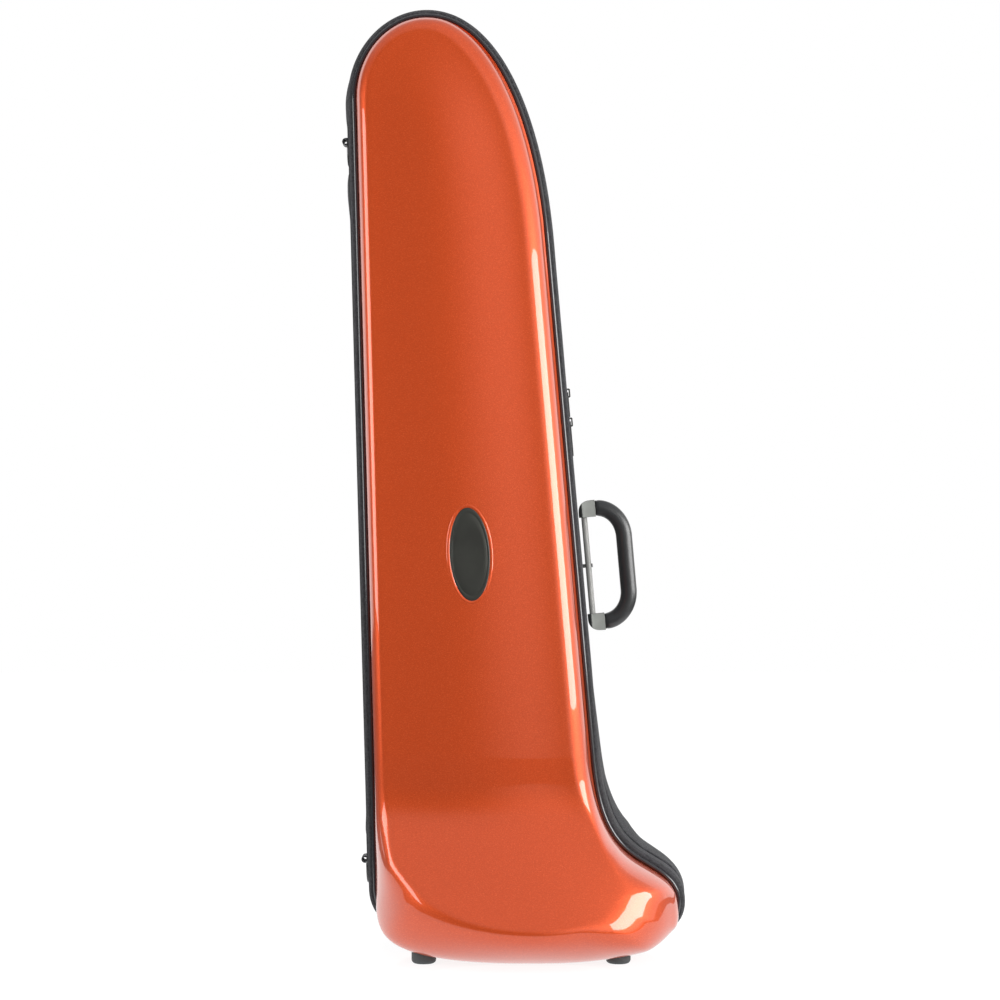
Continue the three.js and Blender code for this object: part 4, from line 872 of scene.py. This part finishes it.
# Dark moulding for the rod clip; on the lugs it is painted shade on their rounded edges.
DARK_MOULDING_AND_EDGE_SHADE = moulded("dark_moulding_and_edge_shade", (0.035, 0.037, 0.037), 0.45, 0.6, 0.02)
STEEL = moulded("satin_steel", (0.27, 0.27, 0.26), 0.5, 0.5, 0.01, Metallic=0.25)
DARK_METAL = moulded("slider_metal", (0.035, 0.035, 0.035), 0.32, 0.4, 0.01, Metallic=0.3)
WIRE = moulded("coated_wire", (0.012, 0.012, 0.013), 0.2, 1.5, 0.01, Coat_Weight=0.5)
PLATE = moulded("badge_plate", (0.050, 0.051, 0.045), 0.34, 0.6, 0.015, Metallic=0.6)
PLASTIC = moulded("box_plastic", (0.030, 0.031, 0.035), 0.38, 0.7, 0.03)


# Lid
def lid_skin():
    """The painted shell with a rolled lip at its rim, and the edge of its face."""
    lip = 0.7
    outer = lid_rings(0.0, 14, -RIM_DEPTH, 6)
    inner = lid_rings(LID_WALL, 5, -RIM_DEPTH, 2)
    outer[0] = ring(0.0, -(RIM_DEPTH + lip))
    start = [ring(LID_WALL, -RIM_DEPTH), ring(lip, -RIM_DEPTH), ring(lip * 0.3, -(RIM_DEPTH + lip * 0.3))]
    skin = Skin()
    skin.sheet(start + outer, around=True)
    skin.face(outer[-1], 36, lid_face_y(0.0))
    skin.sheet(inner, around=True, turned=True)
    skin.face(inner[-1], 8, lid_face_y(LID_WALL), turned=True)
    return skin.piece("lid_skin", ORANGE), outer[-1]


def face_surface(edge):
    """y of the lid's front face at a place."""
    left, right = sides_of(edge)

    def y(x, z):
        low = np.interp(z, left[::-1, 2], left[::-1, 0])
        high = np.interp(z, right[::-1, 2], right[::-1, 0])
        return lid_face_y(0.0)(np.asarray(x, float), np.asarray(z, float), 2 * (x - low) / (high - low) - 1)

    return y


def badge_axes():
    """Middle, width and height directions and outward normal of the badge plate in the frame."""
    places = node_places("badge_plate")
    middle = places.mean(axis=0)
    tall, wide, out = np.linalg.svd(places - middle)[2]
    tall *= np.sign(tall[2])
    wide *= np.sign(wide[0])
    out *= -np.sign(out[1])
    return middle + out * np.max((places - middle) @ out), wide, tall, out


BADGE_AXES = badge_axes()


def badge_oval(half_wide, half_tall, count, lift=0.0):
    """An oval round the badge's middle, in its plane or lifted from it."""
    middle, wide, tall, out = BADGE_AXES
    angles = np.linspace(0, 2 * math.pi, count, endpoint=False)[:, None]
    return middle + half_wide * np.cos(angles) * wide + half_tall * np.sin(angles) * tall + out * lift


def cut_badge_recess(lid):
    overrun = 6.0
    grid = np.array([badge_oval(BADGE_WIDE / 2 + BADGE_MARGIN, BADGE_TALL / 2 + BADGE_MARGIN, 120, lift)
                     for lift in (-BADGE_RECESS, overrun)])
    skin = Skin()
    skin.sheet(grid, around=True)
    skin.cap(grid[0], turned=True)
    skin.cap(grid[1])
    cutter = skin.piece("recess_cutter", ORANGE)
    modified(lid, "BOOLEAN", operation="DIFFERENCE", solver="EXACT", object=cutter)
    apply_modifiers(lid)
    bpy.data.objects.remove(cutter)
    mark_sharp(lid, 40.0)


def mark_sharp(piece, angle):
    """Edges with a wider turn than the angle are shaded sharp."""
    limit = math.radians(angle)
    with edited(piece.data) as work:
        for edge in work.edges:
            edge.smooth = not (len(edge.link_faces) == 2 and edge.calc_face_angle(0) > limit)
        for face in work.faces:
            face.smooth = True


def badge_lip(surface_y):
    """The rolled lip of the recess: it leaves the face smoothly and dips to the recess wall."""
    section = [(-1.6, -0.25), (-1.1, 0.05), (-0.55, 0.3), (0.1, 0.42), (0.7, 0.36), (1.3, 0.16), (1.9, -0.3)]
    rings = []
    for outward, lift in section:
        more = BADGE_MARGIN + outward
        places = badge_oval(BADGE_WIDE / 2 + more, BADGE_TALL / 2 + more, 160)
        places[:, 1] = surface_y(places[:, 0], places[:, 2]) - lift
        rings.append(places)
    skin = Skin()
    skin.sheet(rings, around=True)
    return skin.piece("badge_recess_lip", ORANGE)


def badge_face():
    """The bare plate: a low dome with a rolled edge and a shallow groove inside it."""
    middle, _, _, out = BADGE_AXES
    thick, dome_high = 1.35, 0.18
    profile = [(1.0, -thick), (1.0, -0.55), (0.985, -0.3), (0.955, -0.12), (0.91, -0.1), (0.895, -0.28),
               (0.875, -0.28), (0.86, -0.06), (0.7, 0.05), (0.5, 0.12), (0.25, 0.17)]
    rings = [badge_oval(BADGE_WIDE / 2 * share, BADGE_TALL / 2 * share, 128, lift) for share, lift in profile]
    skin = Skin()
    skin.sheet(rings, around=True)
    skin.cap(rings[-1], centre=middle + out * dome_high)
    skin.cap(rings[0], turned=True, centre=middle - out * thick)
    plate = skin.piece("badge_face", PLATE)
    mark_sharp(plate, 35.0)
    return plate


def cord(name, inset, y, radius, sides):
    """A round cord laid round the rim."""
    angles = np.linspace(0, 2 * math.pi, sides, endpoint=False)
    rings = [ring(inset - radius * math.cos(angle), y + radius * math.sin(angle)) for angle in angles]
    return hoop(name, rings, PIPING)


FLARE_SHARE = (smoothstep(RIM_OUT[:, 0], *FLARE_SIDE) * smoothstep(RIM[:, 1], *FLARE_START)
               * (1 - smoothstep(RIM[:, 1], *FLARE_END)))


def tray_swing(y):
    """How much of the cloth's slack a place at a depth has: none at the zip, all of it further back."""
    return math.sin(min(max((y - CLOTH_TURN_Y) / CLOTH_SWING_REACH, 0.0), 1.0) * math.pi / 2)


def tray_slack(puff, y):
    return EDGE_LIFT * FLARE_SHARE + (puff - EDGE_LIFT * FLARE_SHARE) * tray_swing(y)


def band_slack(y):
    return BAND_LIFT * FLARE_SHARE * min(max(1 - (y - CLOTH_TURN_Y) / BAND_FADE_REACH, 0.0), 1.0)


def wander(points, scale, seed):
    """Smooth noise at each point, about -1 to 1."""
    return np.array([noise.noise(Vector((p[0] * scale + seed, p[1] * scale * 0.6, p[2] * scale))) for p in points])


def cloth_edge(side, lifted):
    """Insets and depths of the cloth's turned edge at the zip and the hinge, from the inside out."""
    chamfer = np.where(ON_HINGE, HINGE_CHAMFER_PROUD, FABRIC_PROUD - 0.9)
    turn_y = np.where(ON_HINGE, HINGE_CHAMFER_DEPTH, BACK_EDGE + 0.9)
    return [(BAND_INNER, side * BACK_EDGE), (-1.0, side * BACK_EDGE), (-chamfer - lifted, side * BACK_EDGE),
            (-(FABRIC_PROUD - 0.25) - lifted, side * (turn_y * 0.4 + BACK_EDGE * 0.6)),
            (-FABRIC_PROUD - lifted, side * turn_y)]


def band_cover():
    """The padded cloth band of the lid, from the piping to the zip."""
    front = -(RIM_DEPTH - SEAT_GAP)
    puff = 0.35 * wander(ring(0.0, 0.0), 0.022, 3.0)
    profile = cloth_edge(-1, band_slack(CLOTH_TURN_Y))
    first, last, reach = 6.2, 19.0, 14.0
    for y in np.linspace(first, last, 8):
        lift = BAND_BULGE * math.cos((y - BAND_BULGE_DEPTH) / reach * math.pi / 2) + 0.1
        profile.append((-(FABRIC_PROUD + lift + band_slack(y) + puff * math.sin(y / 6.0)), -y))
    profile += [(-(FABRIC_PROUD - 0.2), -20.4), (-(BAND_FRONT_PROUD + 0.5), -21.4), (-BAND_FRONT_PROUD, front),
                (-5.0, front), (0.0, front), (BAND_INNER, front)]
    return hoop("lid_band_cover", [ring(*station) for station in profile], CLOTH)


def zip_tape(name, side):
    profile = [(0.5, ZIP_SPLIT), (4.6, ZIP_SPLIT), (4.9, 0.6), (5.0, 2.2), (5.1, ZIP_HALF - 0.3), (4.4, ZIP_HALF),
               (0.5, ZIP_HALF)]
    rings = [ring(-proud - (ZIP_LIFT * FLARE_SHARE if proud > 1 else 0.0), side * y) for proud, y in profile]
    return hoop(name, rings, TAPE, span=ZIP_SPAN)


def out_at(at):
    """Outward directions at lengths along the zip's span of the rim."""
    start = RIM_RUN[ZIP_SPAN[0]]
    shifted = np.mod(RIM_RUN[:-1] - start, RIM_RUN[-1])
    order = np.argsort(shifted)
    share = at / at[-1] * np.mod(RIM_RUN[ZIP_SPAN[-1]] - start, RIM_RUN[-1])
    return unit(sampled(shifted[order], RIM_FACING[order], share))


def zip_teeth(name, side):
    path = ring(-4.9 - ZIP_LIFT * FLARE_SHARE, 0.0)[ZIP_SPAN]
    places, runs, at = along(path, TOOTH_PITCH, offset=TOOTH_PITCH * (0.5 if side < 0 else 1.0))
    outs = out_at(at)
    near, far = (-3.2, 0.55) if side < 0 else (-0.55, 3.2)
    shape, faces = tooth_shape(TOOTH_PITCH * TOOTH_SHARE, near, far, 1.05, 0.3)
    if np.cross(outs[0], runs[0])[1] < 0:
        shape = shape * MIRRORED
        faces = [face[::-1] for face in faces]
    return scatter(name, places, runs, outs, shape, faces, TEETH)


def stitches(name, path):
    """A row of stitches right round the case."""
    pitch, radius = 4.2, 0.32
    places, runs, at = along(path, pitch, closed=True, offset=pitch / 2)
    facing = sampled(lengths(path, closed=True), np.vstack([RIM_FACING, RIM_FACING[:1]]), at)
    shape, faces = thread_shape(pitch * 0.36, radius)
    return scatter(name, places, runs, facing, shape, faces, THREAD)


def lining_roll(depth, side):
    """The rolled edge between a lining's outer and inner rings."""
    return [ring(depth + 0.5, side * (LINING_SET_BACK + 0.1)),
            ring(depth + LINING_THICK / 2, side * (LINING_SET_BACK - 0.3)),
            ring(depth + LINING_THICK - 0.5, side * (LINING_SET_BACK + 0.4))]


def lid_lining():
    depth = LID_WALL + SEAT_GAP
    outer = lid_rings(depth, 5, -LINING_SET_BACK, 2, BELL_EASE)
    inner = lid_rings(depth + LINING_THICK, 7, -(LINING_SET_BACK + LINING_ROLL), 3, BELL_EASE)
    skin = Skin()
    skin.sheet(outer[::-1] + lining_roll(depth, -1) + inner, around=True)
    skin.face(outer[-1], 8, lid_face_y(depth, BELL_EASE))
    skin.face(inner[-1], 20, lid_face_y(depth + LINING_THICK, BELL_EASE), turned=True)
    return skin.piece("lid_plush", PLUSH)


# Tray
def tray_puff():
    """How far the loose cloth stands out along the left side, and a slight play all round."""
    z = RIM[:, 1]
    left = evened(np.interp(z, *np.transpose(LEFT_SLACK)), 3)
    right = np.interp(z, *np.transpose(FLARE_SLACK))
    play = 0.5 * wander(ring(0.0, 0.0), 0.012, 7.0)
    return np.clip(-RIM_OUT[:, 0], 0, 1) * left + smoothstep(RIM_OUT[:, 0], *FLARE_SIDE) * right + play


def quarter(steps):
    """Shares of a quarter turn: how far in and how far on."""
    angles = np.linspace(0, math.pi / 2, steps + 1)
    return zip(1 - np.cos(angles), np.sin(angles))


def tray_cover():
    """The cloth of the tray's sides and back, and how far it stands out."""
    puff = tray_puff()
    turned_in, first, bulge_start = 30.0, 7.0, 4.0
    profile = [(BAND_INNER, TRAY_DEPTH - turned_in)] + cloth_edge(1, tray_slack(puff, CLOTH_TURN_Y))
    for y in np.linspace(first, TRAY_SHOULDER_START - 2.0, 14):
        lift = TRAY_BULGE * math.sin(min((y - bulge_start) / (TRAY_BULGE_DEPTH - bulge_start), 1.0) * math.pi / 2)
        fall = max(y - TRAY_BULGE_DEPTH, 0.0) / (TRAY_SHOULDER_START - TRAY_BULGE_DEPTH)
        profile.append((-(FABRIC_PROUD + lift - TRAY_BULGE / 2 * fall + tray_slack(puff, y)), y))
    for inward, back in quarter(9):
        profile.append((-(FABRIC_PROUD + TRAY_BULGE / 2 + puff * (1 - inward)) + TRAY_SHOULDER * inward,
                        TRAY_SHOULDER_START + (TRAY_DEPTH - TRAY_SHOULDER_START) * back))
    rings = [ring(*station) for station in profile]
    skin = Skin()
    skin.sheet(rings, around=True)
    skin.face(rings[-1], 10, flat_y(TRAY_DEPTH))
    return skin.piece("tray_cover", CLOTH), puff


def tray_lining():
    floor = TRAY_DEPTH - TRAY_BACK_WALL

    def rings_at(depth, steps, start):
        turn = TRAY_SHOULDER - TRAY_WALL / 2 - depth
        wall_end = floor - depth - turn
        rings = [ring(BAND_INNER + depth, y) for y in np.linspace(start, wall_end, 5)[:-1]]
        return rings + [ring(BAND_INNER + depth + turn * inward, wall_end + turn * back)
                        for inward, back in quarter(steps)]

    outer = rings_at(SEAT_GAP, 4, LINING_SET_BACK)
    inner = rings_at(SEAT_GAP + LINING_THICK, 7, LINING_SET_BACK + LINING_ROLL)
    skin = Skin()
    skin.sheet(outer[::-1] + lining_roll(BAND_INNER + SEAT_GAP, 1) + inner, around=True)
    skin.face(outer[-1], 4, flat_y(floor - SEAT_GAP), turned=True)
    skin.face(inner[-1], 6, flat_y(floor - SEAT_GAP - LINING_THICK))
    return skin.piece("tray_plush", PLUSH)


def hinge_gusset():
    """The cloth hinge: a strip that wraps the welt from the tray to the lid."""
    sweep = np.radians(np.linspace(-78.0, 78.0, 17))
    rings = [ring(-(FABRIC_PROUD - 2.6 + radius * math.cos(angle)), radius * stretch * math.sin(angle))
             for radius, stretch, angles in ((3.1, 1.35, sweep), (2.6, 1.3, sweep[::-1])) for angle in angles]
    return hoop("hinge_gusset", rings, GUSSET_CLOTH, span=HINGE_SPAN)


# Pieces that stand at a place on a straight side
def side_axes(edge, up_run, z):
    """Middle and axes of a group on a side: x out of the case to the right, y back, z up the side."""
    middle = np.array([float(by_height(edge, z, edge[:, 0])), 0.0, z])
    return middle, np.array([[up_run[1], 0.0, -up_run[0]], [0.0, 1.0, 0.0], [up_run[0], 0.0, up_run[1]]])


def grip():
    sunk = 1.4
    start = ROD_PROUD + LUG_REACH + SEAT_GAP - sunk
    high = (LUG_INNER_HALF + LUG_OUTER_HALF) / 2

    def bend(sign):
        first, corner, last = np.array([[start, 0.0, sign * high], [GRIP_PROUD, 0.0, sign * high],
                                        [GRIP_PROUD, 0.0, sign * GRIP_STRAIGHT_HALF]])
        return bezier(first, first + (corner - first) * ROUND_SHARE, last + (corner - last) * ROUND_SHARE, last, 26)

    upper, lower = bend(1), bend(-1)
    path = np.vstack([upper, np.linspace(upper[-1], lower[-1], 14)[1:-1], lower[::-1]])
    middle, axes = side_axes(RIGHT_EDGE, RIGHT_UP, HANDLE_Z)
    from_end = np.minimum(np.arange(len(path)), np.arange(len(path))[::-1])
    radius = GRIP_RADIUS - 0.9 * np.exp(-from_end / 0.8)
    return tube("moulded_grip", middle + (path + [0.0, HANDLE_DEPTH, 0.0]) @ axes, radius, RUBBER, 28)


def lug_piece(place):
    """A lug with a grey face, front and back; its other faces are dark, painted shade on its rounded edge."""
    piece = bevelled(f"lug_{place}", f"handle_lug_{place}", 0.9, DARK_MOULDING_AND_EDGE_SHADE, LUG)
    with edited(piece.data) as work:
        for face in work.faces:
            # Only faces looking straight front or back stay grey; the dark rest is painted shade on the rounded edge.
            if abs(face.normal.y) > FACING_FRONT:
                face.material_index = 1
                face.smooth = False
    return piece


def rod_clip():
    """The clip that holds the rod to the tray from behind: shorter than its solid, and hardly in front of the rod."""
    piece = bevelled("rod_clip", "handle_rod_keeper", 0.6, DARK_MOULDING_AND_EDGE_SHADE)
    middle, axes = side_axes(RIGHT_EDGE, RIGHT_UP, HANDLE_Z)
    short, in_front = 0.45, 0.25
    for vertex in piece.data.vertices:
        place = np.array(vertex.co) / MM - ORIGIN - middle
        depth = place[1] - HANDLE_DEPTH
        place = place - axes[2] * (place @ axes[2]) * (1 - short)
        if depth < 0:
            place[1] -= depth * (1 - in_front)
        vertex.co = Vector((place + middle + ORIGIN) * MM)
    return piece


def strap_ring(place):
    middle, axes = side_axes(LEFT_EDGE, LEFT_UP, RING_HEIGHTS[place])
    near, corner = RING_DEPTH - RING_HALF_WIDE, 5.0
    arc = [(-RING_PROUD, RING_DEPTH + RING_HALF_WIDE * math.cos(angle), -RING_DROP - RING_HALF_WIDE * math.sin(angle))
           for angle in np.linspace(0, math.pi, 25)]
    left = bezier(*np.array([[-RING_PROUD, near, -RING_DROP], [-RING_PROUD, near, -corner],
                             [-RING_PROUD, near, 0.0], [-RING_PROUD, near + corner, 0.0]]), 8)
    right = left[::-1] * MIRRORED + [0.0, 2 * RING_DEPTH, 0.0]
    path = np.vstack([arc, left[1:], np.linspace(left[-1], right[0], 10)[1:-1], right[:-1]])
    return tube(f"d_ring_{place}", middle + path @ axes, RING_WIRE, WIRE, 14, closed=True, up=(1.0, 0.0, 0.1))


# Back pocket
def pocket():
    """The zipped pocket: a slack cloth cover that is fullest at its middle."""
    front, back, drop = TRAY_DEPTH + SEAT_GAP, TRAY_DEPTH + POCKET_DEPTH, 1.2
    rings = [ring(POCKET_INSET, front)]
    for inward, on in quarter(7):
        rings.append(ring(POCKET_INSET + POCKET_ROUND * inward, back - POCKET_ROUND + (POCKET_ROUND - drop) * on))

    def slack(x, z, across):
        places = np.column_stack([across.ravel() * 60.0, np.zeros(z.size), z.ravel()])
        folds = wander(places, 0.035, 11.0).reshape(z.shape)
        return back - drop + (1.0 + 0.7 * folds) * (1 - across ** 2) ** 0.7

    skin = Skin()
    skin.sheet(rings, around=True)
    skin.face(rings[-1], 34, slack)
    skin.face(rings[0], 4, flat_y(front), turned=True)
    return skin.piece("pocket_cover", CLOTH)


def pocket_zip():
    """The pocket's zip: its tape and two rows of teeth."""
    places = node_places("pocket_zip")
    middle = (places.min(axis=0) + places.max(axis=0)) / 2
    up = np.linalg.svd(places - places.mean(axis=0))[2][0]
    up = up * np.sign(up[2])
    half = np.max((places - middle) @ up)
    out = np.array([0.0, 1.0, 0.0])
    across = np.cross(up, out)
    thick = places[:, 1].max() - middle[1]
    tape_half, pitch = 4.4, 2.6
    section = bend_round([(-tape_half, -thick), (tape_half, -thick), (tape_half, thick * 0.35),
                          (-tape_half, thick * 0.35)], 0.25, 2)
    grid = np.array([[middle + across * a + out * b + up * t for a, b in section]
                     for t in np.linspace(-half, half, 60)])
    skin = Skin()
    skin.sheet(grid, around=True)
    skin.cap(grid[0])
    skin.cap(grid[-1], turned=True)
    pieces = [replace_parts(skin.piece("pocket_zip_tape", TAPE), "pocket_zip")]
    number = int(2 * half / pitch) - 1
    runs, outs = np.tile(up, (number, 1)), np.tile(out, (number, 1))
    shape, faces = tooth_shape(pitch * TOOTH_SHARE, -2.4, 0.45, 0.5, 0.18)
    for side, shift in (("left", 0.5), ("right", 1.0)):
        spots = middle + out * thick * 0.3 + ((np.arange(number) + shift) * pitch - half)[:, None] * up
        pieces.append(scatter(f"pocket_teeth_{side}", spots, runs, outs, shape, faces, TEETH))
        shape, faces = shape * MIRRORED, [face[::-1] for face in faces]
    return pieces


# Feet
def foot(name, node):
    """A rubber foot with rolled edges."""
    return bevelled(name, node, 1.1, FOOT_RUBBER, segments=4, angle=35.0)


def dress(body, slot, *pieces):
    """Pieces that ride a body; the slot argument is not used."""
    for piece in pieces:
        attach(piece, body)


def dress_lid():
    lid, face_edge = lid_skin()
    cut_badge_recess(lid)
    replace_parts(lid, "lid_shell")
    dress("lid", "paint", lid, badge_lip(face_surface(face_edge)))
    dress("lid", "badge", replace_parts(badge_face(), "badge_plate"))
    piping = cord("rim_piping", -(PIPING_RADIUS + SEAT_GAP), -(RIM_DEPTH + PIPING_RADIUS), PIPING_RADIUS, 14)
    dress("lid", "piping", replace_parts(piping, "lid_piping"))
    dress("lid", "cloth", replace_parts(band_cover(), "lid_band"))
    dress("lid", "zip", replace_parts(zip_tape("lid_zip_tape", -1), "lid_zip_side"), zip_teeth("lid_zip_teeth", -1))
    dress("lid", "plush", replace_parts(lid_lining(), "lid_lining"))
    dress("lid", "foam", softened("bell_cushion", "bell_pad", 2.5, 6))
    dress("lid", None, stitches("lid_band_stitches", ring(-(FABRIC_PROUD + 0.75 + band_slack(8.6)), -8.6)))
    dress("lid", "rubber", *(foot(f"front_rubber_foot_{side}", f"front_foot_{side}") for side in ("left", "right")))


def dress_tray():
    cover, puff = tray_cover()
    dress("tray", "cloth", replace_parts(cover, "tray_shell"))
    dress("tray", "zip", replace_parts(zip_tape("tray_zip_tape", 1), "tray_zip_side"), zip_teeth("tray_zip_teeth", 1))
    dress("tray", "plush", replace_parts(tray_lining(), "tray_lining"))
    welt_inset = -(FABRIC_PROUD + TRAY_BULGE / 2) + 2.2 - puff * 0.9
    dress("tray", "piping", cord("back_seam_welt", welt_inset, TRAY_SHOULDER_START + 9.6, 1.5, 10))
    dress("tray", None, stitches("tray_edge_stitches", ring(-(FABRIC_PROUD + 0.55 + tray_slack(puff, 9.4)), 9.4)))
    dress("tray", "rubber", *(foot(f"rear_rubber_foot_{side}", f"rear_foot_{side}") for side in ("left", "right")))
    dress("tray", "cloth", bevelled("hinge_bead", "hinge_welt", 0.4, GUSSET_CLOTH))
    gusset = hinge_gusset()
    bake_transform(gusset)


def dress_inside():
    for node, voxel in (("slide_saddle_lower", 2.6), ("slide_saddle_upper", 2.6), ("neck_block", 3.0),
                        ("tuning_slide_block", 3.0), ("bell_seat", 3.0), ("divider_wall", 2.6)):
        dress("tray", "foam", softened(f"{node}_plush", node, voxel, 5))
    for node in ("slide_strap", "neck_strap"):
        dress("tray", "webbing", bevelled(f"{node}_webbing", node, 0.5, WEBBING, segments=2, angle=50.0))
    dress("tray", "plastic", bevelled("box_body", "accessory_box", 0.7, PLASTIC))
    dress("box_lid", "plastic", bevelled("box_lid_panel", "accessory_box_lid", 0.6, PLASTIC))


def dress_handle():
    for place in ("upper", "lower"):
        dress("handle", "lug", lug_piece(place))
        dress("handle", "rubber", bevelled(f"collar_{place}", f"handle_collar_{place}", 0.4, COLLAR))
    dress("handle", "rubber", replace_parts(grip(), "handle_grip"))
    dress("tray", "steel", bevelled("hinge_rod", "handle_rod", 0.5, STEEL))
    dress("tray", "rubber", rod_clip())


def dress_trim():
    for place in ("upper", "lower"):
        dress(f"{place}_ring", "ring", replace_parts(strap_ring(place), f"strap_ring_{place}"))
        dress("tray", "webbing", bevelled(f"tab_{place}", f"strap_tab_{place}", 0.5, WEBBING, segments=2))
        dress(f"{place}_slider", "slider_metal", bevelled(f"slider_{place}", f"zip_slider_{place}", 0.35, DARK_METAL))
        dress(f"{place}_pull", "slider_metal", bevelled(f"pull_{place}", f"zip_pull_{place}", 0.3, DARK_METAL))


def dress_back():
    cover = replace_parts(pocket(), "back_pocket")
    dress("tray", "cloth", cover)
    dress("tray", "zip", *pocket_zip())
    dress("pocket_slider", "slider_metal", bevelled("pocket_slider_body", "pocket_slider", 0.35, DARK_METAL))
    dress("pocket_pull", "slider_metal", bevelled("pocket_pull_tab", "pocket_pull", 0.3, DARK_METAL))


def finish_box_pin():
    """The box's hinge pin stays in view as the frame has it, and gets its finish."""
    pin = frame["nodes"]["box_hinge_pin"].data
    pin.materials.clear()
    pin.materials.append(STEEL)


# Studio
def opened_reach(piece):
    """The low and high corner of the floor area that a piece of the lid dips into when the lid is wide open."""
    hinge = Vector(LID_HINGE["pos_m"])
    swing = Matrix.Rotation(math.radians(LID_HINGE["range_deg"][1]), 3, Vector(LID_HINGE["axis"]))
    places = np.array([swing @ (vertex.co - hinge) + hinge for vertex in piece.data.vertices])
    low = places[places[:, 2] < NEAR_FLOOR]
    return low.min(axis=0), low.max(axis=0)


def make_floor():
    """A pale floor, sunk where the wide open lid dips into it, so that it doesn't show inside the lid."""
    half, sunk = 4500.0 * MM, -20.0 * MM
    low, high = opened_reach(bpy.data.objects["lid_plush"])
    corners = [(x, y, 0.0) for low_x, low_y, high_x, high_y in ((-half, -half, half, half), (*low[:2], *high[:2]))
               for x, y in ((low_x, low_y), (high_x, low_y), (high_x, high_y), (low_x, high_y))]
    sides = [(k, (k + 1) % 4, 4 + (k + 1) % 4, 4 + k) for k in range(4)]
    mesh = bpy.data.meshes.new("floor")
    mesh.from_pydata(corners + [(x, y, sunk) for x, y, _ in corners[4:]], [],
                     sides + [tuple(4 + corner for corner in side) for side in sides] + [(8, 9, 10, 11)])
    material = bpy.data.materials.new("pale_floor")
    nodes = Nodes(material)
    nodes.tree.nodes.remove(nodes.tree.nodes["Principled BSDF"])
    matt = nodes.add("BsdfDiffuse", {"Color": (0.86,) * 3})
    white = nodes.add("Emission", {"Color": (1.0,) * 3, "Strength": 1.16})
    mirror = nodes.add("BsdfGlossy", {"Roughness": 0.06})
    seen = nodes.blend(0.8, matt.outputs[0], white.outputs[0])
    gleam = nodes.blend(0.06, seen, mirror.outputs[0])
    table_front, table_half = -240.0, 650.0
    place = nodes.split("Object")
    behind = nodes.maths("GREATER_THAN", place["Y"], table_front * MM)
    beside = nodes.maths("LESS_THAN", nodes.maths("ABSOLUTE", place["X"]), table_half * MM)
    on_table = nodes.maths("MULTIPLY", behind, beside)
    level = nodes.add("MapRange", {"Value": on_table, "To Min": 0.06, "To Max": 1.0})
    mirrored = nodes.add("Emission", {"Strength": level.outputs["Result"]})
    path = nodes.add("LightPath")
    look = nodes.blend(path.outputs["Is Glossy Ray"], gleam, mirrored.outputs[0])
    nodes.give(nodes.tree.nodes["Material Output"].inputs["Surface"], look)
    mesh.materials.append(material)
    placed("floor", mesh)


def make_world():
    """White behind the case for camera and mirror rays, dim towards the viewer, and an even soft fill."""
    world = bpy.data.worlds.new("studio")
    bpy.context.scene.world = world
    nodes = Nodes(world)
    path = nodes.add("LightPath")
    way = nodes.split("Generated")

    def span(axis, low, high):
        values = {"Value": way[axis], "From Min": low, "From Max": high}
        return nodes.add("MapRange", values, interpolation_type="SMOOTHSTEP").outputs["Result"]

    dim, ceiling, glow, white, fill = (0.04,) * 3, (0.42,) * 3, (0.8, 0.77, 0.72), (1.0,) * 3, (0.52, 0.52, 0.53)
    mirrored = nodes.mix(span("X", -0.1, 0.6), dim, glow)
    mirrored = nodes.mix(span("Z", 0.3, 0.75), mirrored, ceiling)
    mirrored = nodes.mix(span("Y", 0.59, 0.62), mirrored, white)
    for_mirror = nodes.mix(path.outputs["Is Glossy Ray"], fill, mirrored)
    plain = nodes.maths("MAXIMUM", path.outputs["Is Camera Ray"], path.outputs["Is Transmission Ray"])
    background = world.node_tree.nodes["Background"].inputs
    nodes.give(background["Color"], nodes.mix(plain, for_mirror, white))
    background["Strength"].default_value = 1.0


def make_light(name, place, target, wide, tall, power, in_mirrors=True):
    data = bpy.data.lights.new(name, "AREA")
    data.shape = "RECTANGLE"
    data.size, data.size_y = wide * MM, tall * MM
    data.energy = power
    light = placed(name, data)
    light.location = Vector(place) * MM
    light.rotation_mode = "QUATERNION"
    light.rotation_quaternion = (Vector(target) - Vector(place)).normalized().to_track_quat("-Z", "Y")
    light.visible_glossy = in_mirrors


def make_lights():
    make_light("right_softbox", (1310, -400, 640), (60, -60, 640), 1250, 680, 21.0)
    make_light("left_softbox", (-1380, -400, 665), (-140, -60, 665), 1250, 750, 13.0)
    make_light("top_softbox", (200, -500, 2300), (0, 0, 300), 1600, 1200, 20.0, in_mirrors=False)
    make_light("front_fill", (900, -3000, 1200), (0, 0, 420), 1600, 1200, 46.0, in_mirrors=False)


def make_camera():
    data = bpy.data.cameras.new("camera")
    data.sensor_width = SENSOR
    data.lens = SENSOR * CAMERA_DISTANCE / FRAME_WIDE
    data.clip_end = 100.0
    camera = placed("camera", data)
    camera.location = Vector((np.array([0.0, -CAMERA_DISTANCE, CAMERA_HEIGHT]) + ORIGIN) * MM)
    camera.rotation_euler = (math.pi / 2, 0.0, 0.0)
    bpy.context.scene.camera = camera


make_camera()
dress_lid()
dress_tray()
dress_inside()
dress_handle()
dress_trim()
dress_back()
finish_box_pin()
make_floor()
make_world()
make_lights()
bpy.context.scene.view_settings.view_transform = "Standard"
